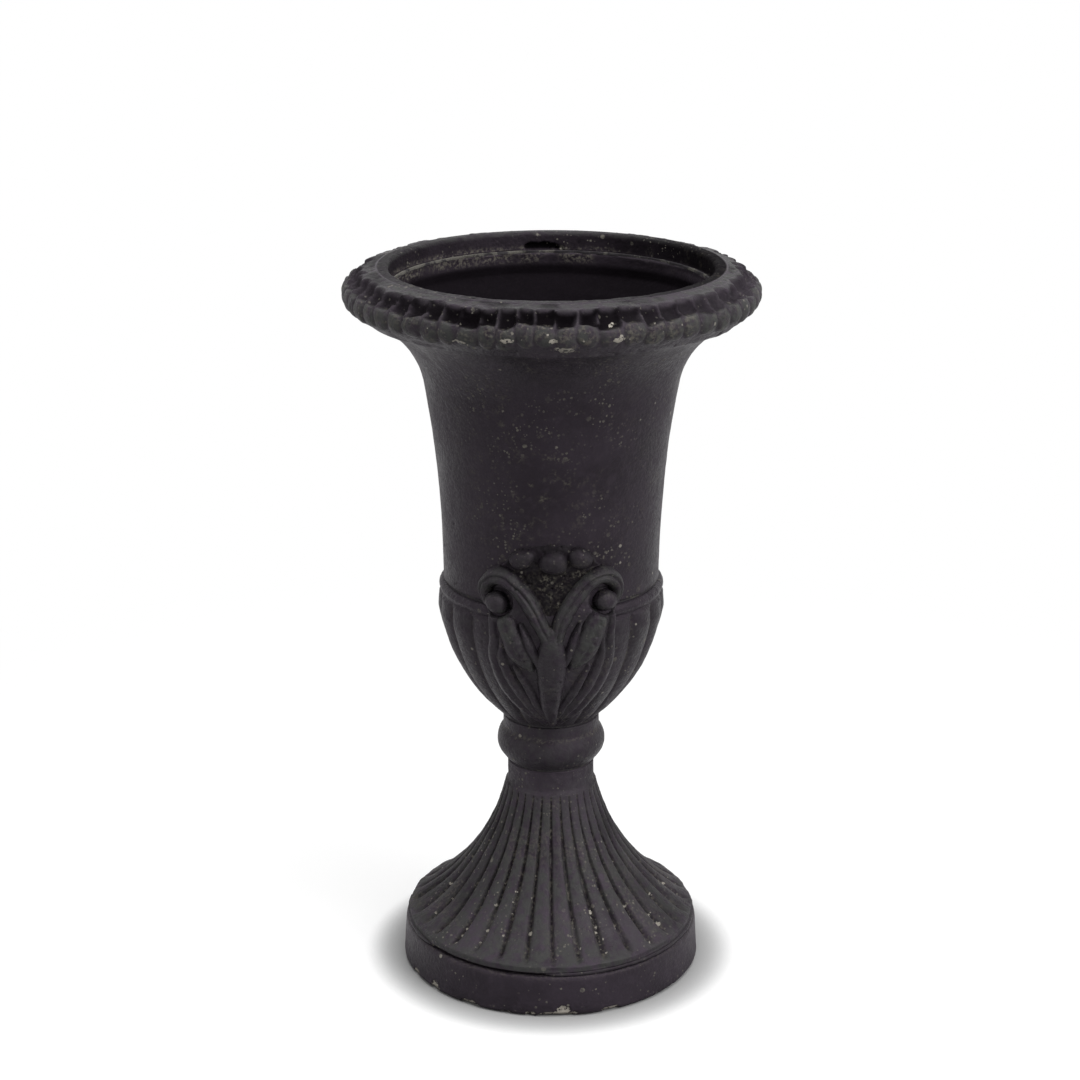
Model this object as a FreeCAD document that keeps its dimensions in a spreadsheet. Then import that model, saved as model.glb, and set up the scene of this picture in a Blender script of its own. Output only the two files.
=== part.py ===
"""Footed urn planter: cast sections on a ring plinth, bedded in mortar and drawn together by a tie rod.

Units are millimetres. +Z is up, the origin is at the centre of the plinth's underside, and the front
ornament faces -Y. Each function below makes one piece of the urn or one group of like pieces.
"""
import FreeCAD, Part
import Sketcher
import math
import operator
import os

# Driving dimensions. Every other size is worked out from these.
DRIVING_SIZES = {
    # joints between the cast sections
    "bed_thickness": 1.5,            # mortar bed between two sections
    "rim_bed_thickness": 2.0,        # mortar bed that carries the rim ring
    "joint_clearance": 0.5,          # gap around and beyond a spigot in its socket
    "bed_setback": 1.0,              # how far a bed stops short of the outer edge
    "wall_thickness": 12.0,          # wall of the hollow sections
    # plinth ring
    "plinth_height": 32.0,
    "plinth_base_radius": 114.0,
    "plinth_draft": 2.0,             # how much narrower the plinth is at its top
    "plinth_wall": 22.0,
    "plinth_edge_round": 3.0,
    # fluted foot
    "foot_height": 127.0,
    "plinth_margin": 3.0,            # plinth showing around the foot's skirt
    "skirt_thickness": 4.5,
    "skirt_inset": 0.5,              # how far the ribs start inside the skirt
    "foot_spigot_length": 8.0,
    "foot_flare_bow": 12.7,          # hollow of the foot's concave outline
    "foot_neck_height": 18.5,        # plain neck above the ribs
    "foot_neck_radius": 33.0,
    "rib_end_step": 1.9,             # how far the ribs end proud of the neck
    "rib_groove_depth": 3.0,
    "foot_boss_height": 38.5,        # solid length of the neck below its top face
    "foot_hollow_step": 12.5,        # straight bore above the foot's underside
    "foot_hollow_bow": 6.0,
    # neck collar
    "collar_height": 35.5,
    "collar_bottom_step": 1.4,       # collar's lower edge outside the foot's neck
    "collar_top_step": 3.5,          # collar's upper edge outside the foot's neck
    "knop_height": 26.0,
    "knop_bow": 5.6,                 # swell of the rounded knop
    "neck_spigot_radius": 20.0,
    "neck_spigot_length": 8.0,
    # calyx bowl
    "calyx_height": 107.0,
    "calyx_foot_step": 0.5,          # calyx foot outside the collar's upper edge
    "calyx_bow": 8.3,                # swell of the gadrooned outline
    "shoulder_overhang": 4.0,        # gadroon crests outside the bell's waist
    "gadroon_groove_depth": 4.0,
    "gadroon_shoulder_height": 14.0, # upright top of the gadroons
    "gadroon_top_inset": 1.3,
    "bead_height": 9.0,
    "bead_overhang": 1.0,            # bead's root outside the bell's waist
    "bead_bow": 2.3,                 # swell of the bead
    "calyx_floor_thickness": 18.0,
    "calyx_floor_radius": 36.0,
    "calyx_hollow_bow": 7.1,
    # bell
    "bell_height": 216.5,
    "bell_waist_radius": 80.0,
    "bell_taper": 13.0,              # how much the side opens before the flare
    "bell_flare_depth": 65.5,        # from the bell's top down to the start of the flare
    "bell_side_bow": 3.3,            # hollow of the side's outline
    "bell_flare_bow": 6.6,           # hollow of the flare's outline
    "bell_flare_inner_bow": 5.8,
    "bell_mouth_depth": 16.0,        # straight bore below the bell's top
    "bell_spigot_wall": 6.0,
    "bell_spigot_length": 10.0,
    "bell_collar_wall": 10.0,
    "bell_lip_overhang": 5.5,
    # rim ring
    "mouth_radius": 115.6,
    "mouth_round": 3.0,
    "mouth_step": 1.5,               # how far the bell stands inside the rim's bore
    "rim_width": 34.7,               # from the mouth to the widest gadroon
    "rim_height": 36.0,
    "rim_lip_height": 14.0,          # from the mortar bed up to the top of the rim
    "rim_lip_width": 8.0,            # level land around the mouth
    "rim_crown": 2.0,                # fall from the land to the first gadroon
    "rim_roll_width": 18.8,          # gadrooned width above the widest line
    "rim_underside_width": 20.3,     # gadrooned width below the widest line
    "rim_roll_height": 17.0,         # underside to the widest line
    "rim_groove_depth": 3.2,
    # ornament
    "ornament_half_width": 49.0,
    "ornament_rise": 49.0,           # above the shoulder joint
    "ornament_foot_rise": 7.0,       # its tip above the calyx's foot
    "ornament_plate_thickness": 2.4,
    "ornament_bedding": 0.4,         # gap between the ornament's back and the wall
    "relief_lift": 2.0,              # how far the motif's axes stand off the wall
    "stalk_half_width": 5.4,
    "stalk_half_height": 5.0,
    "boss_radius": 7.2,
    "berry_half_width": 10.0,
    "berry_half_height": 8.5,
    "berry_depth": 7.0,
    "leaf_half_width": 8.0,
    "leaf_half_height": 5.0,
    "tongue_half_width": 11.0,
    "tongue_half_height": 5.5,
    "blade_half_width": 3.6,
    "blade_half_height": 3.2,
    "pin_radius": 2.0,
    "pin_hole_clearance": 0.2,
    "pin_depth_in_wall": 6.0,
    "pin_depth_in_ornament": 4.0,
    "upper_pin_rise": 38.0,          # above the shoulder joint
    "lower_pin_drop": 40.0,          # below the shoulder joint
    # tie rod and its fittings
    "rod_radius": 5.0,
    "rod_chamfer": 1.0,
    "rod_projection": 4.0,           # thread left beyond each nut
    "rod_hole_clearance": 0.5,
    "thread_clearance": 0.1,
    "nut_across_flats": 16.0,
    "nut_height": 8.0,
    "nut_chamfer": 0.8,
    "lower_washer_radius": 20.0,
    "lower_washer_thickness": 3.0,
    "washer_margin": 8.0,            # room around the lower washer
    "upper_washer_radius": 15.0,
    "upper_washer_thickness": 2.5,
    "seal_radius": 14.0,
    "seal_thickness": 3.0,
}

# Counts of the repeated ornament.
RIB_COUNT = 32
GADROON_COUNT = 20
RIM_GADROON_COUNT = 60
RIB_STATIONS = 7
RIB_CROWN_SHARE = 0.74   # part of a rib's width that its crown takes, between the V grooves
RIB_CROWN_FALL = 0.22    # how far the crown falls to its edges, as a share of the groove's depth
GADROON_STATIONS = 7
RIM_QUARTER_STATIONS = 3
WALL_STATIONS = 6

# The front of the urn as an angle about its axis.
FRONT = -math.pi / 2

document = FreeCAD.newDocument("UrnPlanter")
sheet = document.addObject("Spreadsheet::Sheet", "Sizes")
for row, (alias, number) in enumerate(DRIVING_SIZES.items(), start=1):
    sheet.set(f"A{row}", alias)
    sheet.set(f"B{row}", str(number))
    sheet.setAlias(f"B{row}", alias)
document.recompute()


class Size:
    """A length that carries both its value and the sheet expression that drives it."""

    def __init__(self, value, text):
        self.value = value
        self.text = text

    def __add__(self, other):
        return joined(self, "+", other)

    def __sub__(self, other):
        return joined(self, "-", other)

    def __mul__(self, other):
        return joined(self, "*", other)

    def __rmul__(self, other):
        return joined(other, "*", self)

    def __truediv__(self, other):
        return joined(self, "/", other)


SIGNS = {"+": operator.add, "-": operator.sub, "*": operator.mul, "/": operator.truediv}


def as_size(item):
    """Wrap a plain number, so that it can stand beside the sheet's sizes."""
    if isinstance(item, Size):
        return item
    return Size(float(item), repr(float(item)))


def joined(left, sign, right):
    """Combine two lengths, and write out the expression that does the same in the document."""
    first = as_size(left)
    second = as_size(right)
    value = SIGNS[sign](first.value, second.value)
    return Size(value, f"({first.text} {sign} {second.text})")


def size(alias):
    """Read one driving dimension from the sheet."""
    return Size(float(sheet.get(alias)), f"Sizes.{alias}")


# Levels, from the floor up.
plinth_top = size("plinth_height")
foot_bottom = plinth_top + size("bed_thickness")
foot_top = foot_bottom + size("foot_height")
collar_bottom = foot_top + size("bed_thickness")
collar_top = collar_bottom + size("collar_height")
calyx_bottom = collar_top + size("bed_thickness")
calyx_top = calyx_bottom + size("calyx_height")
bell_bottom = calyx_top + size("bed_thickness")
bell_top = bell_bottom + size("bell_height")
rim_ledge = bell_top + size("rim_bed_thickness")
rim_top = rim_ledge + size("rim_lip_height")
rim_bottom = rim_top - size("rim_height")

# Sizes that two pieces share.
plinth_top_radius = size("plinth_base_radius") - size("plinth_draft")
plinth_bore_radius = plinth_top_radius - size("plinth_wall")
skirt_radius = plinth_top_radius - size("plinth_margin")
skirt_top = foot_bottom + size("skirt_thickness")
rib_end = foot_top - size("foot_neck_height")
foot_hollow_top = foot_top - size("foot_boss_height")
neck_socket_radius = size("neck_spigot_radius") + size("joint_clearance")
neck_socket_depth = size("neck_spigot_length") - size("bed_thickness") + size("joint_clearance")
collar_top_radius = size("foot_neck_radius") + size("collar_top_step")
rod_hole_radius = size("rod_radius") + size("rod_hole_clearance")
calyx_floor = calyx_bottom + size("calyx_floor_thickness")
gadroon_top = calyx_top - size("bead_height")
gadroon_shoulder = gadroon_top - size("gadroon_shoulder_height")
shoulder_radius = size("bell_waist_radius") + size("shoulder_overhang")
bowl_bore_radius = size("bell_waist_radius") - size("wall_thickness")
bell_spigot_radius = bowl_bore_radius + size("bell_spigot_wall")
calyx_rebate_radius = bell_spigot_radius + size("joint_clearance")
calyx_rebate_depth = size("bell_spigot_length") - size("bed_thickness") + size("joint_clearance")
bell_mouth_radius = size("mouth_radius") - size("mouth_step")
bell_collar_radius = bell_mouth_radius + size("bell_collar_wall")
bell_lip_radius = bell_collar_radius + size("bell_lip_overhang")
bell_lip_level = rim_bottom - size("joint_clearance")
bell_flare_level = bell_top - size("bell_flare_depth")
bell_flare_radius = size("bell_waist_radius") + size("bell_taper")
rim_radius = size("mouth_radius") + size("rim_width")

# How far a cutting tool runs past the face that it leaves through.
CUT_MARGIN = 2.0


class Bow:
    """Marks an outline edge as an arc of a given rise. Side +1 has its centre on the left."""

    def __init__(self, rise, side):
        self.rise = rise
        self.side = side

    def radius(self, start, end):
        across = end[0] - start[0]
        up = end[1] - start[1]
        return (across * across + up * up) / (8 * self.rise) + self.rise / 2


class Round:
    """Marks an outline edge as an arc of a given radius. Side +1 has its centre on the left."""

    def __init__(self, radius, side):
        self.fixed_radius = radius
        self.side = side

    def radius(self, start, end):
        return self.fixed_radius


def arc_centre(start, end, radius, side):
    """Centre of the arc of less than half a turn from start to end."""
    dx = end[0] - start[0]
    dy = end[1] - start[1]
    chord = math.hypot(dx, dy)
    offset = math.sqrt(radius ** 2 - (chord / 2) ** 2) * side
    return ((start[0] + end[0]) / 2 - dy / chord * offset, (start[1] + end[1]) / 2 + dx / chord * offset)


def plain(point):
    """The values of an outline point."""
    return (point[0].value, point[1].value)


def arc_radius_at(level, start, end, arc):
    """Distance from the urn's axis to an outline arc at a level."""
    radius = arc.radius(start, end).value
    centre = arc_centre(plain(start), plain(end), radius, arc.side)
    reach = math.sqrt(max(radius ** 2 - (level - centre[1]) ** 2, 0.0))
    inside = centre[0] < (start[0].value + end[0].value) / 2
    return centre[0] + (reach if inside else -reach)


def origin_plane(body, role):
    return next(item for item in body.Origin.OriginFeatures if item.Role == role)


def flat(x, y):
    return FreeCAD.Vector(x, y, 0)


def add_edge(sketch, start, end, arc):
    """Draw one edge of an outline. Returns its number and which of its ends lies at the start."""
    if arc is None:
        return sketch.addGeometry(Part.LineSegment(flat(*plain(start)), flat(*plain(end))), False), 1
    radius = arc.radius(start, end)
    centre = arc_centre(plain(start), plain(end), radius.value, arc.side)
    angles = [math.atan2(point[1].value - centre[1], point[0].value - centre[0]) for point in (start, end)]
    if arc.side < 0:
        angles.reverse()
    circle = Part.Circle(flat(*centre), FreeCAD.Vector(0, 0, 1), radius.value)
    edge = sketch.addGeometry(Part.ArcOfCircle(circle, *angles), False)
    row = sketch.addConstraint(Sketcher.Constraint("Radius", edge, radius.value))
    sketch.setExpression(f"Constraints[{row}]", radius.text)
    return edge, 1 if arc.side > 0 else 2


def outline_sketch(body, outline):
    """Draw a closed (radius, level) outline in the body's XZ plane, each point bound to the sheet."""
    sketch = body.newObject("Sketcher::SketchObject", body.Name + "Outline")
    sketch.AttachmentSupport = [(origin_plane(body, "XZ_Plane"), "")]
    sketch.MapMode = "FlatFace"
    vertical_axis = -2  # a sketch's own number for it
    points = []
    arcs = {}
    for item in outline:
        if isinstance(item, tuple):
            points.append(tuple(as_size(length) for length in item))
        else:
            arcs[len(points) - 1] = item
    starts = []
    for index, start in enumerate(points):
        end = points[(index + 1) % len(points)]
        starts.append(add_edge(sketch, start, end, arcs.get(index)))
    for index, point in enumerate(points):
        edge, place = starts[index]
        edge_before, place_before = starts[index - 1]
        sketch.addConstraint(Sketcher.Constraint("Coincident", edge, place, edge_before, 3 - place_before))
        for kind, length in zip(("DistanceX", "DistanceY"), point):
            if kind == "DistanceX" and length.value == 0.0:
                sketch.addConstraint(Sketcher.Constraint("PointOnObject", edge, place, vertical_axis))
                continue
            row = sketch.addConstraint(Sketcher.Constraint(kind, edge, place, length.value))
            sketch.setExpression(f"Constraints[{row}]", length.text)
    return sketch


def turned_body(label, outline):
    """A solid turned about the urn's axis from its outline."""
    body = document.addObject("PartDesign::Body", label)
    body.Label = label
    sketch = outline_sketch(body, outline)
    turn = body.newObject("PartDesign::Revolution", label + "_turn")
    turn.Profile = sketch
    turn.ReferenceAxis = (sketch, ["V_Axis"])
    turn.Angle = 360
    body.Tip = turn
    return body


def ring_body(label, inner_radius, outer_radius, bottom, top):
    """A plain flat ring, such as a washer or a mortar bed."""
    corners = [(inner_radius, bottom), (outer_radius, bottom), (outer_radius, top), (inner_radius, top)]
    return turned_body(label, corners)


def boolean(kind, label, first, second):
    """Cut, fuse or intersect two objects as one feature of the document."""
    feature = document.addObject("Part::" + kind, label)
    feature.Label = label
    feature.Base = first
    feature.Tool = second
    return feature


def shape_feature(label, shape):
    feature = document.addObject("Part::Feature", label)
    feature.Label = label
    feature.Shape = shape
    return feature


def polar_spot(radius, turn, level):
    return FreeCAD.Vector(radius * math.cos(turn), radius * math.sin(turn), level)


def lobed_wire(level, crest, groove_depth, count):
    """A closed ring of outward arcs that meet in sharp grooves, with one arc's crest at the front."""
    half = math.pi / count
    edges = []
    for index in range(count):
        middle = FRONT + 2 * half * index
        groove = crest - groove_depth
        corners = [(groove, middle - half), (crest, middle), (groove, middle + half)]
        edges.append(Part.Arc(*[polar_spot(*corner, level) for corner in corners]).toShape())
    return Part.Wire(edges)


def ribbed_wire(level, crest, groove_depth, count):
    """A closed ring of low crowned ribs with narrow V grooves between them, one of them at the front."""
    half = math.pi / count
    shoulder = half * RIB_CROWN_SHARE
    edge = crest - groove_depth * RIB_CROWN_FALL
    edges = []
    for index in range(count):
        middle = FRONT + half + 2 * half * index
        crown = [(edge, middle - shoulder), (crest, middle), (edge, middle + shoulder)]
        edges.append(Part.Arc(*[polar_spot(*corner, level) for corner in crown]).toShape())
        slope = [(edge, middle + shoulder), (crest - groove_depth, middle + half)]
        edges.append(Part.LineSegment(*[polar_spot(*corner, level) for corner in slope]).toShape())
        slope = [(crest - groove_depth, middle + half), (edge, middle + 2 * half - shoulder)]
        edges.append(Part.LineSegment(*[polar_spot(*corner, level) for corner in slope]).toShape())
    return Part.Wire(edges)


def lobed_skin(label, stations, count):
    """A solid through lobed rings, given as (crest radius, level, groove depth) from the bottom up."""
    rings = [lobed_wire(level, crest, depth, count) for crest, level, depth in stations]
    return shape_feature(label, Part.makeLoft(rings, True, False))


# ---------------------------------------------------------------- plinth

def make_plinth_ring():
    rounding = size("plinth_edge_round")
    return turned_body("plinth_ring", [
        (plinth_bore_radius, 0.0),
        (size("plinth_base_radius"), 0.0),
        (plinth_top_radius, plinth_top - rounding),
        Round(rounding, 1),
        (plinth_top_radius - rounding, plinth_top),
        (plinth_bore_radius, plinth_top),
    ])


def make_plinth_mortar():
    return ring_body("plinth_mortar", plinth_bore_radius, skirt_radius - size("bed_setback"),
                     plinth_top, foot_bottom)


# ---------------------------------------------------------------- foot

foot_outline = [(skirt_radius, skirt_top), (size("foot_neck_radius") + size("rib_end_step"), rib_end)]
foot_bow = Bow(size("foot_flare_bow"), -1)


def make_fluted_foot():
    """Skirt, ribbed flare and neck, with a locating spigot at each end and a hollow underneath."""
    spigot_radius = plinth_bore_radius - size("joint_clearance")
    spigot_bottom = foot_bottom - size("foot_spigot_length")
    spigot_top = foot_top + size("neck_spigot_length")
    bore_radius = spigot_radius - size("wall_thickness")
    core = turned_body("foot_core", [
        (0.0, spigot_bottom),
        (spigot_radius, spigot_bottom),
        (spigot_radius, foot_bottom),
        (skirt_radius, foot_bottom),
        (skirt_radius, skirt_top),
        (size("foot_neck_radius"), skirt_top),
        (size("foot_neck_radius"), foot_top),
        (size("neck_spigot_radius"), foot_top),
        (size("neck_spigot_radius"), spigot_top),
        (0.0, spigot_top),
    ])
    stations = []
    for index in range(RIB_STATIONS):
        share = index / (RIB_STATIONS - 1)
        level = skirt_top.value + share * (rib_end.value - skirt_top.value)
        crest = arc_radius_at(level, *foot_outline, foot_bow)
        if index == 0:
            crest = crest - size("skirt_inset").value
        stations.append((crest, level, size("rib_groove_depth").value * (1 - share ** 2)))
    rings = [ribbed_wire(level, crest, depth, RIB_COUNT) for crest, level, depth in stations]
    ribs = shape_feature("foot_ribs", Part.makeLoft(rings, True, False))
    hollow = turned_body("foot_hollow", [
        (0.0, spigot_bottom - CUT_MARGIN),
        (bore_radius, spigot_bottom - CUT_MARGIN),
        (bore_radius, foot_bottom + size("foot_hollow_step")),
        Bow(size("foot_hollow_bow"), -1),
        (size("lower_washer_radius") + size("washer_margin"), foot_hollow_top),
        (rod_hole_radius, foot_hollow_top),
        (rod_hole_radius, spigot_top + CUT_MARGIN),
        (0.0, spigot_top + CUT_MARGIN),
    ])
    solid = boolean("Fuse", "foot_solid", core, ribs)
    return boolean("Cut", "fluted_foot", solid, hollow)


# ---------------------------------------------------------------- neck

def make_neck_bed(label, bottom, top, neighbour_radius):
    return ring_body(label, neck_socket_radius, neighbour_radius - size("bed_setback"), bottom, top)


def make_neck_collar():
    """A knop with a short cylinder above it, a socket below and a spigot above."""
    spigot_top = collar_top + size("neck_spigot_length")
    return turned_body("neck_collar", [
        (rod_hole_radius, collar_bottom + neck_socket_depth),
        (neck_socket_radius, collar_bottom + neck_socket_depth),
        (neck_socket_radius, collar_bottom),
        (size("foot_neck_radius") + size("collar_bottom_step"), collar_bottom),
        Bow(size("knop_bow"), 1),
        (collar_top_radius, collar_bottom + size("knop_height")),
        (collar_top_radius, collar_top),
        (size("neck_spigot_radius"), collar_top),
        (size("neck_spigot_radius"), spigot_top),
        (rod_hole_radius, spigot_top),
    ])


# ---------------------------------------------------------------- bowl

calyx_outline = [
    (collar_top_radius + size("calyx_foot_step"), calyx_bottom),
    (shoulder_radius, gadroon_shoulder),
]
calyx_bow = Bow(size("calyx_bow"), 1)
bell_side = [(size("bell_waist_radius"), bell_bottom), (bell_flare_radius, bell_flare_level)]
bell_side_bow = Bow(size("bell_side_bow"), -1)
bell_flare = [(bell_flare_radius, bell_flare_level), (bell_lip_radius, bell_lip_level)]
bell_flare_bow = Bow(size("bell_flare_bow"), -1)


def make_calyx_bowl():
    """Gadrooned bowl with the shoulder bead, a floor for the tie rod and a rebate for the bell."""
    stations = []
    for index in range(GADROON_STATIONS):
        share = index / (GADROON_STATIONS - 1)
        level = calyx_bottom.value + share * (gadroon_shoulder.value - calyx_bottom.value)
        stations.append((arc_radius_at(level, *calyx_outline, calyx_bow), level))
    shoulder = shoulder_radius.value
    stations.append((shoulder, (gadroon_shoulder.value + gadroon_top.value) / 2))
    stations.append((shoulder - size("gadroon_top_inset").value, gadroon_top.value))
    depth = size("gadroon_groove_depth").value
    rings = [(crest, level, depth * crest / shoulder) for crest, level in stations]
    gadroons = lobed_skin("calyx_gadroons", rings, GADROON_COUNT)
    bead_radius = size("bell_waist_radius") + size("bead_overhang")
    bead_core_radius = bead_radius - size("gadroon_groove_depth")
    bead = turned_body("calyx_bead", [
        (0.0, gadroon_shoulder),
        (bead_core_radius, gadroon_shoulder),
        (bead_core_radius, gadroon_top),
        (bead_radius, gadroon_top),
        Bow(size("bead_bow"), 1),
        (bead_radius, calyx_top),
        (0.0, calyx_top),
    ])
    hollow = turned_body("calyx_hollow", [
        (0.0, calyx_bottom - CUT_MARGIN),
        (neck_socket_radius, calyx_bottom - CUT_MARGIN),
        (neck_socket_radius, calyx_bottom + neck_socket_depth),
        (rod_hole_radius, calyx_bottom + neck_socket_depth),
        (rod_hole_radius, calyx_floor),
        (size("calyx_floor_radius"), calyx_floor),
        Bow(size("calyx_hollow_bow"), 1),
        (bowl_bore_radius, calyx_top - calyx_rebate_depth),
        (calyx_rebate_radius, calyx_top - calyx_rebate_depth),
        (calyx_rebate_radius, calyx_top + CUT_MARGIN),
        (0.0, calyx_top + CUT_MARGIN),
    ])
    solid = boolean("Fuse", "calyx_solid", gadroons, bead)
    bowl = boolean("Cut", "calyx_turned", solid, hollow)
    return boolean("Cut", "calyx_bowl", bowl, pin_holes("calyx_pin_holes", lower_pin_level()))


def make_shoulder_mortar():
    return ring_body("shoulder_joint_mortar", calyx_rebate_radius,
                     size("bell_waist_radius") - size("bed_setback"), calyx_top, bell_bottom)


def make_bell_body():
    """Flared bell with a spigot below and a collar above for the rim ring."""
    wall = size("wall_thickness")
    spigot_bottom = bell_bottom - size("bell_spigot_length")
    shell = turned_body("bell_shell", [
        bell_side[0],
        bell_side_bow,
        bell_side[1],
        bell_flare_bow,
        bell_flare[1],
        (bell_collar_radius, bell_lip_level),
        (bell_collar_radius, bell_top),
        (bell_mouth_radius, bell_top),
        (bell_mouth_radius, bell_top - size("bell_mouth_depth")),
        Bow(size("bell_flare_inner_bow"), 1),
        (bell_flare_radius - wall, bell_flare_level),
        Bow(size("bell_side_bow"), 1),
        (bowl_bore_radius, bell_bottom),
        (bowl_bore_radius, spigot_bottom),
        (bell_spigot_radius, spigot_bottom),
        (bell_spigot_radius, bell_bottom),
    ])
    return boolean("Cut", "bell_body", shell, pin_holes("bell_pin_holes", upper_pin_level()))


# ---------------------------------------------------------------- rim

def make_rim_mortar():
    """The bed that shows as a pale seam inside the mouth."""
    return ring_body("rim_joint_mortar", bell_mouth_radius, bell_collar_radius, bell_top, rim_ledge)


def make_rim_ring():
    """Rolled rim with gadroons over its rounded edge, rebated to sit on the bell's collar."""
    middle = (rim_bottom + size("rim_roll_height")).value
    over = (size("rim_roll_width").value, (rim_top - size("rim_crown")).value - middle)
    under = (size("rim_underside_width").value, size("rim_roll_height").value)
    stations = []
    for index in range(-RIM_QUARTER_STATIONS, RIM_QUARTER_STATIONS + 1):
        turn = math.pi / 2 * index / RIM_QUARTER_STATIONS
        width, height = over if index > 0 else under
        crest = rim_radius.value - width * (1 - math.cos(turn))
        depth = size("rim_groove_depth").value * math.cos(turn) * (1 + math.sin(turn) / 2)
        stations.append((crest, middle + height * math.sin(turn), depth))
    land = size("mouth_radius") + size("rim_lip_width")
    stations.append((land.value, rim_top.value, 0.0))
    roll = lobed_skin("rim_roll", stations, RIM_GADROON_COUNT)
    rounding = size("mouth_round")
    bore = turned_body("rim_bore", [
        (0.0, rim_bottom - CUT_MARGIN),
        (bell_collar_radius + size("joint_clearance"), rim_bottom - CUT_MARGIN),
        (bell_collar_radius + size("joint_clearance"), rim_ledge),
        (size("mouth_radius"), rim_ledge),
        (size("mouth_radius"), rim_top - rounding),
        Round(rounding, -1),
        (size("mouth_radius") + rounding, rim_top),
        (size("mouth_radius") + rounding, rim_top + CUT_MARGIN),
        (0.0, rim_top + CUT_MARGIN),
    ])
    return boolean("Cut", "rim_ring", roll, bore)


# ---------------------------------------------------------------- ornament

def wall_radius(level):
    """Radius of the bowl's outer surface, over the gadroon crests, at a level."""
    if level < gadroon_shoulder.value:
        return arc_radius_at(max(level, calyx_bottom.value), *calyx_outline, calyx_bow)
    if level < bell_bottom.value:
        return shoulder_radius.value
    return arc_radius_at(level, *bell_side, bell_side_bow)


def upper_pin_level():
    return calyx_top.value + size("upper_pin_rise").value


def lower_pin_level():
    return calyx_top.value - size("lower_pin_drop").value


def lying_cylinder(radius, length, start_y, level, outward):
    """A cylinder along Y, from start_y towards -Y at the front or +Y at the back."""
    start = FreeCAD.Vector(0, start_y, level)
    return Part.makeCylinder(radius, length, start, FreeCAD.Vector(0, outward, 0))


def pin_solids(radius, inward, outward, level):
    """One pin or pin hole at the front and one at the back, across the wall's outer surface."""
    face = wall_radius(level)
    length = inward + outward
    return [lying_cylinder(radius, length, side * (face - inward), level, side) for side in (-1, 1)]


def pin_holes(label, level):
    radius = size("pin_radius").value + size("pin_hole_clearance").value
    inward = size("pin_depth_in_wall").value + size("pin_hole_clearance").value
    return shape_feature(label, Part.makeCompound(pin_solids(radius, inward, CUT_MARGIN, level)))


def make_ornament_pins():
    """Four steel dowels that hang the two ornaments on the bowl."""
    solids = []
    for level in (upper_pin_level(), lower_pin_level()):
        inward = size("pin_depth_in_wall").value
        outward = size("pin_depth_in_ornament").value
        solids += pin_solids(size("pin_radius").value, inward, outward, level)
    return shape_feature("ornament_pins", Part.makeCompound(solids))


def motif_level(up):
    """Level of a motif point: +1 is the ornament's top and -1 its tip, 0 the shoulder joint."""
    reach = size("ornament_rise") if up > 0 else size("calyx_height") - size("ornament_foot_rise")
    return calyx_top.value + up * reach.value


def motif_spot(across, up):
    """The point of the motif's axes that lies across half widths from the centre line."""
    x = across * size("ornament_half_width").value
    level = motif_level(up)
    reach = wall_radius(level) + size("relief_lift").value
    return FreeCAD.Vector(x, -math.sqrt(reach ** 2 - x ** 2), level)


def relief_strand(path, half_width, half_height):
    """A tapering strand that follows the wall. The path gives (across, up, share of full size)."""
    spots = [motif_spot(across, up) for across, up, share in path]
    rings = []
    for index, spot in enumerate(spots):
        before = spots[max(index - 1, 0)]
        after = spots[min(index + 1, len(spots) - 1)]
        along = (after - before).normalize()
        outward = FreeCAD.Vector(spot.x, spot.y, 0).normalize()
        sideways = along.cross(outward).normalize()
        lift = sideways.cross(along).normalize()
        share = path[index][2]
        oval = Part.Ellipse(FreeCAD.Vector(), half_width * share, half_height * share).toShape()
        oval.Placement = FreeCAD.Placement(spot, FreeCAD.Rotation(sideways, lift, along, "ZXY"))
        rings.append(Part.Wire([oval]))
    return Part.makeLoft(rings, True, False)


def relief_boss(across, up, half_width, half_height, depth, tilt):
    """A rounded boss on the wall, as an ellipsoid tilted in the plane of the wall."""
    spot = motif_spot(across, up)
    ball = Part.makeSphere(1.0)
    matrix = FreeCAD.Matrix()
    matrix.scale(half_width, depth, half_height)
    boss = ball.transformGeometry(matrix)
    turn = FreeCAD.Rotation(FreeCAD.Vector(0, 1, 0), tilt)
    face = FreeCAD.Rotation(FreeCAD.Vector(0, 0, 1), math.degrees(math.atan2(spot.x, -spot.y)))
    boss.Placement = FreeCAD.Placement(spot, face.multiply(turn))
    return boss


# The motif's right half. Points are (across, up), and a strand's third number is its share of full size.
STALK = [(0.08, -0.20, 0.62), (0.15, -0.08, 0.85), (0.25, 0.05, 1.0), (0.38, 0.26, 1.05),
         (0.53, 0.43, 1.0), (0.71, 0.51, 0.92), (0.87, 0.43, 0.8), (0.93, 0.24, 0.66), (0.90, 0.06, 0.5)]
BOSS = (0.78, 0.11)
SIDE_BERRY = (0.44, 0.82)
SIDE_BERRY_TILT = 24.0
MIDDLE_BERRY = (0.0, 0.80)
SIDE_LEAF = [(0.70, 0.0, 0.45), (0.66, -0.08, 0.85), (0.58, -0.18, 1.0), (0.46, -0.30, 0.85),
             (0.34, -0.42, 0.35)]
TONGUE = [(0.0, -0.15, 0.35), (0.0, -0.26, 0.85), (0.0, -0.37, 1.0), (0.0, -0.53, 0.92),
          (0.0, -0.70, 0.74), (0.0, -0.86, 0.5), (0.0, -0.98, 0.3)]
BLADES = [
    [(0.12, -0.95, 0.5), (0.34, -0.79, 0.85), (0.64, -0.58, 1.0), (0.79, -0.30, 1.0), (0.81, -0.06, 0.5)],
    [(0.10, -0.92, 0.5), (0.27, -0.75, 0.9), (0.46, -0.56, 1.0), (0.60, -0.38, 0.6)],
]
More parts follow.
